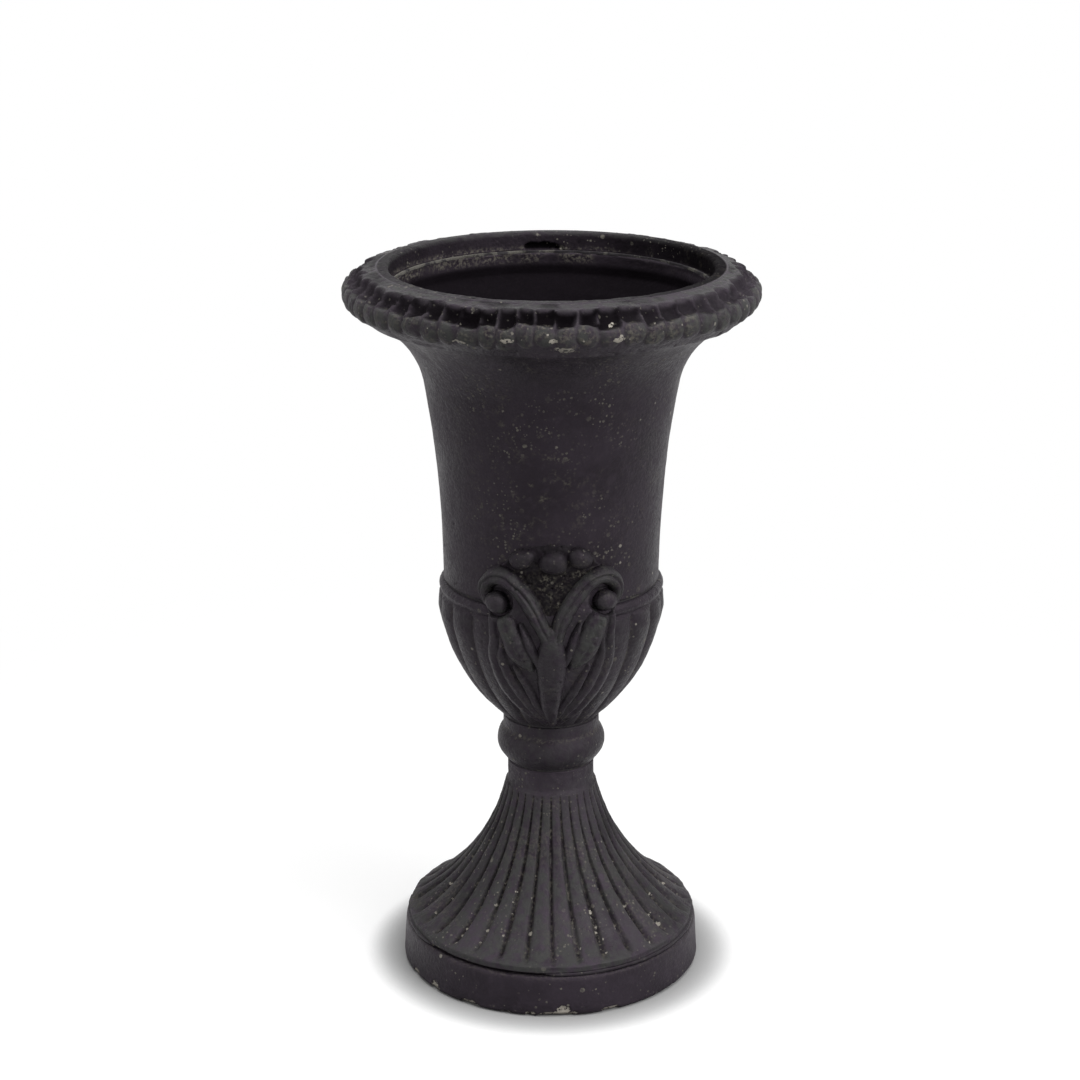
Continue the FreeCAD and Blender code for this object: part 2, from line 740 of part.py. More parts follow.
PLATE_OUTLINE = [(0.10, -1.0), (0.39, -0.82), (0.70, -0.60), (0.86, -0.34), (0.86, -0.05), (0.95, 0.25),
                 (0.86, 0.52), (0.64, 0.68), (0.56, 0.92), (0.20, 1.0)]


def ornament_plate():
    """Thin plate behind the motif: a shell over the wall, trimmed to the motif's outline."""
    half_width = size("ornament_half_width").value
    right = [FreeCAD.Vector(across * half_width, 0, motif_level(up)) for across, up in PLATE_OUTLINE]
    left = [FreeCAD.Vector(-spot.x, 0, spot.z) for spot in reversed(right)]
    curve = Part.BSplineCurve()
    curve.interpolate(right + left, True)
    face = Part.Face(Part.Wire([curve.toShape()]))
    block = face.extrude(FreeCAD.Vector(0, -rim_radius.value, 0))
    return wall_solid(size("ornament_plate_thickness")).common(block)


def wall_curve(low, high, grow):
    """A smooth outline along the bowl's outer surface from one level to another."""
    spots = []
    for index in range(WALL_STATIONS):
        level = low + (high - low) * index / (WALL_STATIONS - 1)
        spots.append(FreeCAD.Vector(wall_radius(level) + grow, 0, level))
    curve = Part.BSplineCurve()
    curve.interpolate(spots)
    return curve.toShape(), spots[0], spots[-1]


def wall_solid(offset):
    """The bowl's outer surface as a solid of revolution, grown outward by an offset."""
    grow = offset.value
    low = calyx_bottom.value
    high = calyx_top.value + 2 * size("ornament_rise").value
    bowl, bowl_low, bowl_high = wall_curve(low, gadroon_shoulder.value, grow)
    side, side_low, side_high = wall_curve(bell_bottom.value + grow, high, grow)
    corner = FreeCAD.Vector(bowl_high.x, 0, side_low.z)
    bottom = FreeCAD.Vector(0, 0, low)
    top = FreeCAD.Vector(0, 0, high)
    runs = [(bottom, bowl_low), (bowl_high, corner), (corner, side_low), (side_high, top), (top, bottom)]
    edges = [Part.LineSegment(*run).toShape() for run in runs]
    edges.insert(1, bowl)
    edges.insert(4, side)
    face = Part.Face(Part.Wire(edges))
    return face.revolve(FreeCAD.Vector(), FreeCAD.Vector(0, 0, 1), 360)


def make_front_ornament():
    """Scrolled stalks around two bosses, three berries, drooping leaves, a tongue and side blades.

    The right half is made first, and the left half is its mirror image.
    """
    leaf = (size("leaf_half_width").value, size("leaf_half_height").value)
    stalk = (size("stalk_half_width").value, size("stalk_half_height").value)
    blade = (size("blade_half_width").value, size("blade_half_height").value)
    tongue = (size("tongue_half_width").value, size("tongue_half_height").value)
    berry = (size("berry_half_width").value, size("berry_half_height").value, size("berry_depth").value)
    boss = size("boss_radius").value
    reach = rim_radius.value
    right_side = Part.makeBox(reach, reach, rim_top.value, FreeCAD.Vector(0, -reach, 0))
    middle = [ornament_plate(), relief_strand(TONGUE, *tongue), relief_boss(*MIDDLE_BERRY, *berry, 0.0)]
    plate, *solids = [solid.common(right_side) for solid in middle]
    solids.append(relief_strand(STALK, *stalk))
    solids.append(relief_strand(SIDE_LEAF, *leaf))
    solids.append(relief_boss(*BOSS, boss, boss, boss, 0.0))
    solids.append(relief_boss(*SIDE_BERRY, *berry, SIDE_BERRY_TILT))
    for path in BLADES:
        solids.append(relief_strand(path, *blade))
    half = plate.multiFuse(solids).cut(wall_solid(size("ornament_bedding"))).removeSplitter()
    motif = half.fuse(half.mirror(FreeCAD.Vector(), FreeCAD.Vector(1, 0, 0)))
    clearance = size("pin_hole_clearance").value
    outward = size("pin_depth_in_ornament").value + clearance
    radius = size("pin_radius").value + clearance
    holes = []
    for level in (upper_pin_level(), lower_pin_level()):
        holes += pin_solids(radius, CUT_MARGIN, outward, level)
    return shape_feature("front_ornament", motif.cut(Part.makeCompound(holes)))


def make_back_ornament(front):
    """The same casting as the front ornament, turned half round the urn."""
    back = shape_feature("back_ornament", front.Shape.copy())
    back.Placement = FreeCAD.Placement(FreeCAD.Vector(), FreeCAD.Rotation(FreeCAD.Vector(0, 0, 1), 180))
    return back


# ---------------------------------------------------------------- tie rod

lower_washer_bottom = foot_hollow_top - size("lower_washer_thickness")
lower_nut_bottom = lower_washer_bottom - size("nut_height")
seal_top = calyx_floor + size("seal_thickness")
upper_washer_top = seal_top + size("upper_washer_thickness")
upper_nut_top = upper_washer_top + size("nut_height")


def make_tie_rod():
    """Threaded rod from under the foot's boss to above the calyx floor."""
    bottom = lower_nut_bottom - size("rod_projection")
    top = upper_nut_top + size("rod_projection")
    radius = size("rod_radius")
    chamfer = size("rod_chamfer")
    return turned_body("tie_rod", [
        (0.0, bottom),
        (radius - chamfer, bottom),
        (radius, bottom + chamfer),
        (radius, top - chamfer),
        (radius - chamfer, top),
        (0.0, top),
    ])


def make_nut(label, bottom):
    """A hexagon nut with its corners turned off at both ends."""
    height = size("nut_height")
    chamfer = size("nut_chamfer")
    corner = size("nut_across_flats") / 2 / math.cos(math.pi / 6)
    prism = document.addObject("Part::Prism", label + "_hexagon")
    prism.Polygon = 6
    prism.setExpression("Circumradius", corner.text)
    prism.setExpression("Height", height.text)
    prism.setExpression("Placement.Base.z", bottom.text)
    bore = size("rod_radius") + size("thread_clearance")
    turned = turned_body(label + "_turned", [
        (bore, bottom),
        (corner - chamfer, bottom),
        (corner, bottom + chamfer / 2),
        (corner, bottom + height - chamfer / 2),
        (corner - chamfer, bottom + height),
        (bore, bottom + height),
    ])
    return boolean("Common", label, prism, turned)


def make_washers():
    lower = ring_body("lower_washer", rod_hole_radius, size("lower_washer_radius"),
                      lower_washer_bottom, foot_hollow_top)
    seal = ring_body("sealing_washer", size("rod_radius") + size("thread_clearance"),
                     size("seal_radius"), calyx_floor, seal_top)
    upper = ring_body("upper_washer", rod_hole_radius, size("upper_washer_radius"),
                      seal_top, upper_washer_top)
    return [lower, seal, upper]


# ---------------------------------------------------------------- build

def build_urn():
    """Make every piece, in the order in which the urn goes together."""
    front = make_front_ornament()
    pieces = [
        make_plinth_ring(),
        make_plinth_mortar(),
        make_fluted_foot(),
        make_neck_bed("neck_lower_mortar", foot_top, collar_bottom, size("foot_neck_radius")),
        make_neck_collar(),
        make_neck_bed("neck_upper_mortar", collar_top, calyx_bottom, collar_top_radius),
        make_calyx_bowl(),
        make_shoulder_mortar(),
        make_bell_body(),
        make_rim_mortar(),
        make_rim_ring(),
        front,
        make_back_ornament(front),
        make_ornament_pins(),
        make_tie_rod(),
        make_nut("lower_nut", lower_nut_bottom),
        make_nut("upper_nut", upper_washer_top),
    ]
    return pieces + make_washers()


def check_document():
    """Stop before anything is written if a feature failed."""
    for item in document.Objects:
        if {"Invalid", "Error"} & set(item.State):
            raise SystemExit(f"{item.Label} failed: {item.State}")


def write_pieces(pieces):
    os.makedirs("parts", exist_ok=True)
    for piece in pieces:
        shape = piece.Shape
        if shape.isNull() or not shape.isValid() or shape.Volume <= 0:
            raise SystemExit(f"{piece.Label} has no valid solid")
        shape.exportStep(os.path.join("parts", piece.Label + ".step"))
        print(f"{piece.Label:24s} solids {len(shape.Solids)}  volume {shape.Volume:12.1f}")


urn_pieces = build_urn()
document.recompute()
check_document()
write_pieces(urn_pieces)
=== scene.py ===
import math

import bpy
import numpy as np
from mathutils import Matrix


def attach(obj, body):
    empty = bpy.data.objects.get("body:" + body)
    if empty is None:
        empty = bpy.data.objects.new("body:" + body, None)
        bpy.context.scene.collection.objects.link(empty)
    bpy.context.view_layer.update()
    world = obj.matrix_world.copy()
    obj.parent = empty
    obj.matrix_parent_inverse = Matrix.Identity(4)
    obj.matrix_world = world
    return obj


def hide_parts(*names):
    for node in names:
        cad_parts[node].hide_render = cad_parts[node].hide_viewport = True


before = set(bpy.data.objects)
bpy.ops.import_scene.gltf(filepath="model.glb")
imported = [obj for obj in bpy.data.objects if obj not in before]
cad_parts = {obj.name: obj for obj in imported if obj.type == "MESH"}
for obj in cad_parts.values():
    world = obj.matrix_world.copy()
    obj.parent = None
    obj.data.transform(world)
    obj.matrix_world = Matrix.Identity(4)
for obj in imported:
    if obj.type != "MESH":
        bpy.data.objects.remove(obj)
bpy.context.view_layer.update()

# Lengths are written in millimetres and become metres when a mesh or light is made.
MM = 0.001
FRONT = -math.pi / 2

FLOOR_REACH = 12.0   # metres
FLOOR_SHADE = 0.38   # the floor's colour as the camera sees it
FLOOR_BOUNCE = 0.42  # the floor's colour in the light that it throws back
# The contact shadow on the floor's glow is a painted shadow, from ambient occlusion.
FLOOR_GLOW = 0.69    # its own light, which the urn's contact shadow dims
WORLD_LEVEL = 0.20   # the world's light on the urn; the camera sees it white
CAMERA_PLACE = (-8.27, -1690.5, 896.3)
CAMERA_DOWN = 18.4356  # degrees below level
AIM = (0, 0, 0.30)   # where the lamps point, in metres


# ---------------------------------------------------------------- noise

def lattice(cell, seed):
    """A repeatable value from 0 to 1 for each integer cell."""
    mixed = cell[..., 0] * 73856093 ^ cell[..., 1] * 19349663 ^ cell[..., 2] * 83492791 ^ seed * 2654435761
    mixed = (mixed ^ (mixed >> 15)) * 2246822519 & 0xFFFFFFFF
    mixed = (mixed ^ (mixed >> 13)) * 3266489917 & 0xFFFFFFFF
    return ((mixed ^ (mixed >> 16)) & 0xFFFFFFFF) / 0xFFFFFFFF


def noise(points, grain, seed):
    """Smooth noise from -1 to 1 over points in mm, with lumps about one grain across."""
    at = points / grain
    cell = np.floor(at).astype(np.int64)
    part = at - cell
    part = part * part * (3 - 2 * part)
    total = np.zeros(at.shape[:-1])
    for corner in np.ndindex(2, 2, 2):
        step = np.array(corner)
        share = np.prod(np.where(step, part, 1 - part), axis=-1)
        total += share * lattice(cell + step, seed)
    return total * 2 - 1


def rough(points, grain, seed, layers=3):
    """Noise with finer noise on it, from about -1 to 1."""
    total = np.zeros(points.shape[:-1])
    size = 1.0
    for layer in range(layers):
        total += size * noise(points, grain / 2 ** layer, seed + layer)
        size *= 0.5
    return total / 1.75


def spots(points, spacing, radius, seed, share=1.0):
    """1 at the middle of scattered round spots, falling to 0 at their edges."""
    at = points / spacing
    cell = np.floor(at).astype(np.int64)
    best = np.zeros(at.shape[:-1])
    for corner in np.ndindex(3, 3, 3):
        near = cell + np.array(corner) - 1
        middle = np.stack([near[..., k] + lattice(near, seed + k) for k in range(3)], axis=-1)
        kept = lattice(near, seed + 7) < share
        size = radius * (0.4 + 0.6 * lattice(near, seed + 8))
        away = np.linalg.norm(points - middle * spacing, axis=-1)
        best = np.maximum(best, np.where(kept, 1 - away / size, 0))
    return np.clip(best, 0, 1)


def ramp(value, low, high):
    """0 at low, 1 at high and smooth between."""
    part = np.clip((value - low) / (high - low), 0, 1)
    return part * part * (3 - 2 * part)


# ---------------------------------------------------------------- meshes

def add_piece(name, points, faces, layers):
    """A mesh piece from points in mm, with named values on its points."""
    mesh = bpy.data.meshes.new(name)
    mesh.from_pydata((np.asarray(points) * MM).tolist(), [], faces)
    mesh.update()
    for layer, values in layers.items():
        data = mesh.attributes.new(layer, "FLOAT", "POINT")
        data.data.foreach_set("value", np.asarray(values, dtype=np.float32).ravel())
    mesh.polygons.foreach_set("use_smooth", [True] * len(mesh.polygons))
    piece = bpy.data.objects.new(name, mesh)
    bpy.context.scene.collection.objects.link(piece)
    return piece


def ring_faces(rows, columns):
    """Quads of a grid that closes on itself both ways."""
    row = np.arange(rows)[:, None]
    column = np.arange(columns)[None, :]
    after_row = (row + 1) % rows
    after_column = (column + 1) % columns
    quads = np.stack([
        row * columns + column,
        row * columns + after_column,
        after_row * columns + after_column,
        after_row * columns + column,
    ], axis=-1)
    return quads.reshape(-1, 4).tolist()


def arc(start, end, bow, count):
    """Points of an arc from start to end whose middle stands off the chord by bow, left side positive."""
    (r0, z0), (r1, z1) = start, end
    across, up = r1 - r0, z1 - z0
    chord = math.hypot(across, up)
    share = np.linspace(0, 1, count + 1)[:-1]
    rise = bow * (1 - (2 * share - 1) ** 2)
    return [(r0 + across * s - up / chord * b, z0 + up * s + across / chord * b) for s, b in zip(share, rise)]


def trace(start, *legs):
    """Points from start along legs: (radius, level, step) is straight, (radius, level, bow, count) an arc."""
    points = []
    for r, z, *shape in legs:
        if len(shape) == 1:
            shape = 0.0, max(1, round(math.dist(start, (r, z)) / shape[0]))
        points += arc(start, (r, z), *shape)
        start = (r, z)
    return points


class Turned:
    """The points of a turned piece: a closed (radius, level) loop swept round the axis."""

    def __init__(self, loop, columns):
        loop = np.array(loop)
        self.columns = columns
        self.rows = len(loop)
        ahead = np.roll(loop, -1, axis=0) - np.roll(loop, 1, axis=0)
        ahead /= np.maximum(np.linalg.norm(ahead, axis=1, keepdims=True), 1e-9)
        self.turn = (FRONT + 2 * math.pi * np.arange(columns) / columns)[None, :]
        self.radius = np.repeat(loop[:, :1], columns, axis=1)
        self.level = np.repeat(loop[:, 1:], columns, axis=1)
        self.out_radius = np.repeat(ahead[:, 1:], columns, axis=1)
        self.out_level = np.repeat(-ahead[:, :1], columns, axis=1)

    def points(self):
        return np.stack([
            self.radius * np.cos(self.turn),
            self.radius * np.sin(self.turn),
            self.level,
        ], axis=-1)

    def swell(self, amount):
        """Move each point out along the loop's own normal."""
        self.radius = self.radius + amount * self.out_radius
        self.level = self.level + amount * self.out_level

    def grow(self, amount):
        """Move each point straight away from the axis."""
        self.radius = self.radius + amount

    def piece(self, name, layers):
        return add_piece(name, self.points().reshape(-1, 3), ring_faces(self.rows, self.columns), layers)


def lobe(turn, count, front_is_groove=False):
    """Across a ring of lobes: 0 in the middle of each lobe and 1 in the grooves between them."""
    phase = (turn - FRONT) * count / (2 * math.pi) + (0.5 if front_is_groove else 0.0)
    return np.abs(phase - np.round(phase)) * 2


# ---------------------------------------------------------------- levels and radii of the castings

PLINTH_RADIUS, PLINTH_HOLE, PLINTH_TOP = 114.0, 90.0, 32.0
FOOT_RADIUS, FOOT_BOTTOM, SKIRT_TOP, RIB_END, FOOT_TOP = 109.0, 33.5, 38.0, 142.0, 160.5
NECK = 33.0
SPIGOT, SPIGOT_HOLE = 20.0, 20.5
ROD_HOLE = 5.5
COLLAR_BOTTOM, KNOP_TOP, COLLAR_TOP = 162.0, 188.0, 197.5
CALYX_BOTTOM, GADROON_SHOULDER, GADROON_TOP, CALYX_TOP = 199.0, 283.0, 297.0, 306.0
BELL_BOTTOM, FLARE_LEVEL, LIP_LEVEL, BELL_TOP = 307.5, 458.5, 503.5, 524.0
RIM_BOTTOM, RIM_LEDGE, RIM_TOP = 504.0, 526.0, 540.0
BORE = 68.0
MOUTH = 115.6
WAIST = 80.0
RIM_REACH = 150.25
RIBS, GADROONS, FINGER_MARKS = 32, 20, 60


def bowed_outline(start, end, rise, side, count=240):
    """(levels, radii) of an arc between two (radius, level) ends; side 1 swells it and -1 hollows it."""
    (r0, z0), (r1, z1) = start, end
    chord = math.hypot(r1 - r0, z1 - z0)
    radius = chord ** 2 / (8 * rise) + rise / 2
    half = math.asin(chord / 2 / radius)
    turn = np.linspace(-half, half, count)
    along = radius * np.sin(turn) + chord / 2
    off = (rise - radius * (1 - np.cos(turn))) * side
    ux, uz = (r1 - r0) / chord, (z1 - z0) / chord
    return z0 + uz * along - ux * off, r0 + ux * along + uz * off


def on_line(line, level):
    """Radius of an outline at a level."""
    return np.interp(level, *line)


def outline(line, levels):
    """(radius, level) places on an outline, from the bottom up."""
    return [(float(on_line(line, z)), float(z)) for z in levels]


def wear(points, grain, amount, seed):
    """Low swellings and hollows of a hand-finished casting, with a finer unevenness on them."""
    return amount * (rough(points, grain, seed, 2) + 0.35 * rough(points, grain / 6, seed + 10, 2))


def pitting(points, spacing, radius, depth, seed, share=0.5):
    """Small round pits, as depths below the surface."""
    return -depth * ramp(spots(points, spacing, radius, seed, share), 0.0, 0.7)


def from_front(turn):
    """The angle about the axis, 0 at the front and positive to the viewer's right."""
    return (turn - FRONT + math.pi) % (2 * math.pi) - math.pi


def patch(points, at, axes, seed):
    """A ragged patch: 1 inside, 0 outside, about the place (x, y, z) with the given half-sizes."""
    part = (points - np.array(at)) / np.array(axes)
    return ramp(1 - np.linalg.norm(part, axis=-1) + 0.45 * rough(points, 4.5, seed), 0.0, 0.22)


# ---------------------------------------------------------------- plinth and foot

def make_plinth():
    """The round base: chipped along its lower edge and worn along its upper one."""
    loop = trace((PLINTH_HOLE, 0), (112.2, 0, 4), (PLINTH_RADIUS, 2.2, 0.8), (112.2, PLINTH_TOP - 3, 1.0),
                 (109.2, PLINTH_TOP, -0.85, 5), (PLINTH_HOLE, PLINTH_TOP, 3), (PLINTH_HOLE, 0, 4))
    ring = Turned(loop, 720)
    points = ring.points()
    outer = ramp(ring.radius, 100, 108)
    low_edge = ramp(ring.level, 9, 1) * outer
    chips = ramp(spots(points * [1, 1, 1.6], 16, 9, 41, 0.42), 0.15, 0.75) * low_edge
    chips = chips * ramp(rough(points, 7, 44) + 0.5, 0.0, 0.5)
    placed = [(-62, 9, 3.2), (-15, 4, 2.4), (6.5, 15, 3.0), (8, 6, 8), (44, 8, 2.6), (-88, 3, 6)]
    for index, (x, half_width, height) in enumerate(placed):
        at = (x, -math.sqrt((PLINTH_RADIUS - 1) ** 2 - x ** 2), 1.5)
        chips = np.maximum(chips, 0.9 * outer * patch(points, at, (half_width, 9, height), 130 + index))
    top_edge = ramp(ring.level, 27, 31.5) * outer
    ring.swell(-0.5 * outer + outer * wear(points, 30, 0.45, 42) - 1.5 * chips
               + top_edge * (0.5 * rough(points, 14, 46) - 0.3)
               + pitting(points, 9, 1.6, 0.8, 43, 0.45) * outer)
    ring.level = np.maximum(ring.level, 0)
    ring.radius = np.minimum(ring.radius, PLINTH_RADIUS)
    return ring.piece("plinth", {"chip": chips, "dust": 0.25 * top_edge})


# The ribs' crests.
FOOT_LINE = bowed_outline((FOOT_RADIUS, SKIRT_TOP), (34.9, RIB_END), 12.7, -1, 200)


def make_foot():
    """The flared foot: ribs that run out above a lumpy skirt, and a plain neck over them, with painted shade
    in the grooves and towards the sides.
    """
    levels = np.concatenate([np.linspace(SKIRT_TOP, 70, 44), np.linspace(70.9, RIB_END, 66)])
    loop = (trace((77.5, 25.5), (89.5, 25.5, 4), (89.5, FOOT_BOTTOM, 4), (FOOT_RADIUS, FOOT_BOTTOM, 4),
                  (FOOT_RADIUS, SKIRT_TOP, 0.9))
            + outline(FOOT_LINE, levels)
            + trace((34.2, RIB_END + 0.4), (NECK, RIB_END + 2.6, 0.9), (NECK, FOOT_TOP, 1.1),
                    (SPIGOT, FOOT_TOP, 4), (SPIGOT, 168.5, 4), (ROD_HOLE, 168.5, 5), (ROD_HOLE, 122, 12),
                    (28, 122, 8), (77.5, 46, -6.0, 12), (77.5, 25.5, 5)))
    foot = Turned(loop, 768)
    points = foot.points()
    outer = ramp(foot.radius + foot.level * 0.1, 30, 34) * ramp(foot.level, 33, 34) * (foot.level < 161)
    outer = outer * (foot.out_radius > 0.2)
    share = np.clip((foot.level - SKIRT_TOP) / (RIB_END - SKIRT_TOP), 0, 1)
    ribbed = ramp(foot.level, SKIRT_TOP + 0.2, SKIRT_TOP + 6)
    ribbed = ribbed * ramp(foot.level, RIB_END + 1.2, RIB_END - 2.5) * outer
    sway = 0.012 * np.sin(foot.level / 19 + 2) + 0.010 * noise(points, 34, 50)
    sway = sway + 0.020 * noise(points * [1, 1, 0.25], 30, 61)
    groove = lobe(foot.turn + sway * (1 - share), RIBS, True)
    wide = 0.80 + 0.06 * noise(points, 25, 51)
    notch = ramp(groove, wide - 0.22, wide + 0.16)
    crown = groove ** 2 * 0.75
    depth = (3.2 * (1 - share ** 3) + 0.5) * (1 + 0.25 * noise(points, 45, 52))
    relief = ribbed * (-depth * np.maximum(crown * 0.6, notch))
    skirt = ramp(foot.level, SKIRT_TOP + 5, SKIRT_TOP) * outer
    foot.swell(relief - 0.4 * outer + outer * wear(points, 24, 0.55, 53)
               + skirt * 0.8 * rough(points, 12, 54) + 0.25 * outer * rough(points, 7, 64)
               + outer * pitting(points, 8, 1.5, 0.9, 55, 0.5))
    foot.radius = np.where(outer > 0, np.minimum(foot.radius, FOOT_RADIUS + 0.3), foot.radius)
    low = ramp(foot.level, 105, 60)
    dust = ribbed * notch * (0.35 + 0.65 * ramp(rough(points, 9, 56), -0.3, 0.5))
    chips = ribbed * ramp(groove, wide - 0.3, wide) * (0.25 + 0.75 * low)
    chips = chips * ramp(spots(points, 4.6, 2.9, 58, 0.60), 0.20, 0.6)
    chips = chips * ramp(rough(points, 16, 59), -0.45, 0.15)
    left = ramp(points[..., 0], 60, -40)
    green = ramp(foot.level, 165, 120) * outer * (0.75 + 0.45 * left + 0.5 * noise(points, 26, 57))
    # Painted shade: a dark line along each groove.
    line = ribbed * ramp(groove, wide - 0.05, wide + 0.14)
    line = line * (0.25 + 0.5 * ramp(rough(points, 14, 62), -0.4, 0.2))
    dust = np.maximum(dust, 0.4 * outer * ramp(rough(points, 26, 63), 0.0, 0.5))
    # Painted shade: the foot darker towards its sides and back, in patches.
    patchy_side_shade = 0.36 * outer * ramp(np.abs(from_front(foot.turn)), 0.55, 1.25) * ramp(foot.level, 34, 42)
    painted_shade = np.maximum(line, patchy_side_shade * (1 + 0.5 * noise(points, 22, 60)))
    return foot.piece("foot", {"chip": chips, "dust": dust, "green": np.clip(green, 0, 1), "painted_shade": painted_shade})


# ---------------------------------------------------------------- neck

def make_collar():
    """The rounded knop and the short cylinder above it."""
    loop = trace((ROD_HOLE, 168.5), (SPIGOT_HOLE, 168.5, 5), (SPIGOT_HOLE, COLLAR_BOTTOM, 3),
                 (33.2, COLLAR_BOTTOM, 3), (34.8, COLLAR_BOTTOM + 1.4, 0.8), (36.4, KNOP_TOP, -5.3, 26),
                 (36.5, COLLAR_TOP - 0.6, 0.9), (35.6, COLLAR_TOP, 0.6), (SPIGOT, COLLAR_TOP, 4),
                 (SPIGOT, 205.5, 4), (ROD_HOLE, 205.5, 5), (ROD_HOLE, 168.5, 10))
    collar = Turned(loop, 300)
    points = collar.points()
    outer = ramp(collar.radius, 31, 34)
    waist = np.exp(-((collar.level - 187.6) / 1.6) ** 2) * outer
    collar.swell(-0.35 * outer + outer * wear(points, 20, 0.5, 60) - 0.5 * waist
                 + outer * pitting(points, 7, 1.4, 0.8, 61, 0.5))
    chips = outer * ramp(spots(points, 12, 3.4, 62, 0.16), 0.3, 0.8)
    return collar.piece("collar", {"chip": chips * 0.5, "dust": waist * 0.6, "green": outer * 0.35})


# ---------------------------------------------------------------- bowl

CALYX_LINE = bowed_outline((37.0, CALYX_BOTTOM), (84.0, GADROON_SHOULDER), 8.3, 1)
SIDE_LINE = bowed_outline((WAIST, BELL_BOTTOM), (93.0, FLARE_LEVEL), 3.3, -1)
FLARE_LINE = bowed_outline((93.0, FLARE_LEVEL), (129.6, LIP_LEVEL), 6.6, -1)


def make_calyx():
    """The gadrooned lower bowl with the bead at its shoulder."""
    levels = np.linspace(CALYX_BOTTOM, GADROON_SHOULDER, 82)
    loop = (trace((ROD_HOLE, 206), (SPIGOT_HOLE, 206, 5), (SPIGOT_HOLE, CALYX_BOTTOM, 3),
                  (36.4, CALYX_BOTTOM, 4))
            + outline(CALYX_LINE, levels)
            + trace((84.0, GADROON_SHOULDER + 1), (83.4, GADROON_TOP - 2.4, 1.1), (81.0, GADROON_TOP, 0.8),
                    (81.0, CALYX_TOP, -2.3, 13), (74.5, CALYX_TOP, 3), (74.5, 297, 3), (BORE, 297, 3),
                    (36, 217, 7.1, 14), (ROD_HOLE, 217, 6), (ROD_HOLE, 206, 5)))
    bowl = Turned(loop, 720)
    points = bowl.points()
    outer = (bowl.out_radius > 0.1) * ramp(bowl.radius, 34, 36.8)
    lobed = outer * ramp(bowl.level, GADROON_TOP + 0.6, GADROON_TOP - 3.5)
    groove = lobe(bowl.turn + 0.012 * noise(points, 40, 70), GADROONS)
    arch = 1 - np.sqrt(np.clip(1 - (groove * 0.96) ** 2, 0, 1))
    depth = 4.6 * bowl.radius / 84
    bead = outer * ramp(bowl.level, GADROON_TOP - 0.5, GADROON_TOP + 1)
    bowl.grow(-lobed * depth * arch)
    bowl.swell(-0.35 * outer + outer * wear(points, 22, 0.5, 71)
               + outer * pitting(points, 9, 1.5, 0.9, 72, 0.45)
               + bead * 0.35 * rough(points, 9, 73))
    slot = lobed * ramp(groove, 0.80, 1.0)
    dust = slot * (0.2 + 0.5 * ramp(rough(points, 8, 74), 0, 0.6))
    return bowl.piece("bowl", {"dust": dust, "green": 0.25 * lobed})


def make_bell():
    """The smooth flared upper part, dusty and speckled at the front, with painted shade inside."""
    loop = (trace((74, 297.5), (74, BELL_BOTTOM, 4), (79.2, BELL_BOTTOM, 3))
            + outline(SIDE_LINE, np.linspace(BELL_BOTTOM, FLARE_LEVEL, 104))
            + outline(FLARE_LINE, np.linspace(FLARE_LEVEL + 1.3, LIP_LEVEL, 36))
            + trace((129.0, LIP_LEVEL + 0.2), (124.1, LIP_LEVEL + 0.2, 3), (124.1, BELL_TOP, 5),
                    (114.1, BELL_TOP, 4), (114.1, 508, 1.2), (81, FLARE_LEVEL, -5.8, 34),
                    (BORE, BELL_BOTTOM, -3.3, 42), (BORE, 297.5, 4), (74, 297.5, 3)))
    bell = Turned(loop, 480)
    points = bell.points()
    outer = (bell.out_radius > 0.35) * ramp(bell.radius, 78.5, 79.6) * (bell.level < LIP_LEVEL + 0.1)
    inside = (bell.out_radius < -0.2) * (bell.level > 309) * 1.0
    foot_line = np.exp(-((bell.level - BELL_BOTTOM) / 1.3) ** 2) * outer
    ripple = noise(points * [0.12, 0.12, 1.0], 3.2, 83)
    bell.swell(-0.35 * outer + outer * wear(points, 46, 0.55, 80) + outer * 0.07 * rough(points, 5, 84)
               + outer * pitting(points, 10, 1.3, 0.8, 81, 0.5) - 0.3 * foot_line
               + inside * (0.7 * wear(points, 40, 1.0, 82) + 0.35 * ripple))
    centre = np.exp(-(from_front(bell.turn) / 0.75) ** 2)
    speck = outer * (0.35 + 0.65 * centre) * ramp(rough(points, 40, 85) + 0.6, 0.1, 0.9)
    mottle = outer * centre * 0.75 * ramp(rough(points, 5, 86), 0.0, 0.5)
    mottle = mottle * ramp(rough(points, 36, 88), -0.4, 0.3)
    seam = inside * ramp(bell.level, 515.5, 520)
    seam = seam * ramp(rough(points, 13, 89) - 0.5 * np.sin(bell.turn - FRONT), -0.2, 0.4)
    dust = np.maximum(np.maximum(foot_line * 0.4, mottle), seam)
    # Painted shade: the inside darkened below the rim's ledge.
    painted_shade = inside * ramp(bell.level, 519, 513) * 0.88
    return bell.piece("bell", {"dust": dust, "speck": speck, "painted_shade": painted_shade})


# ---------------------------------------------------------------- rim

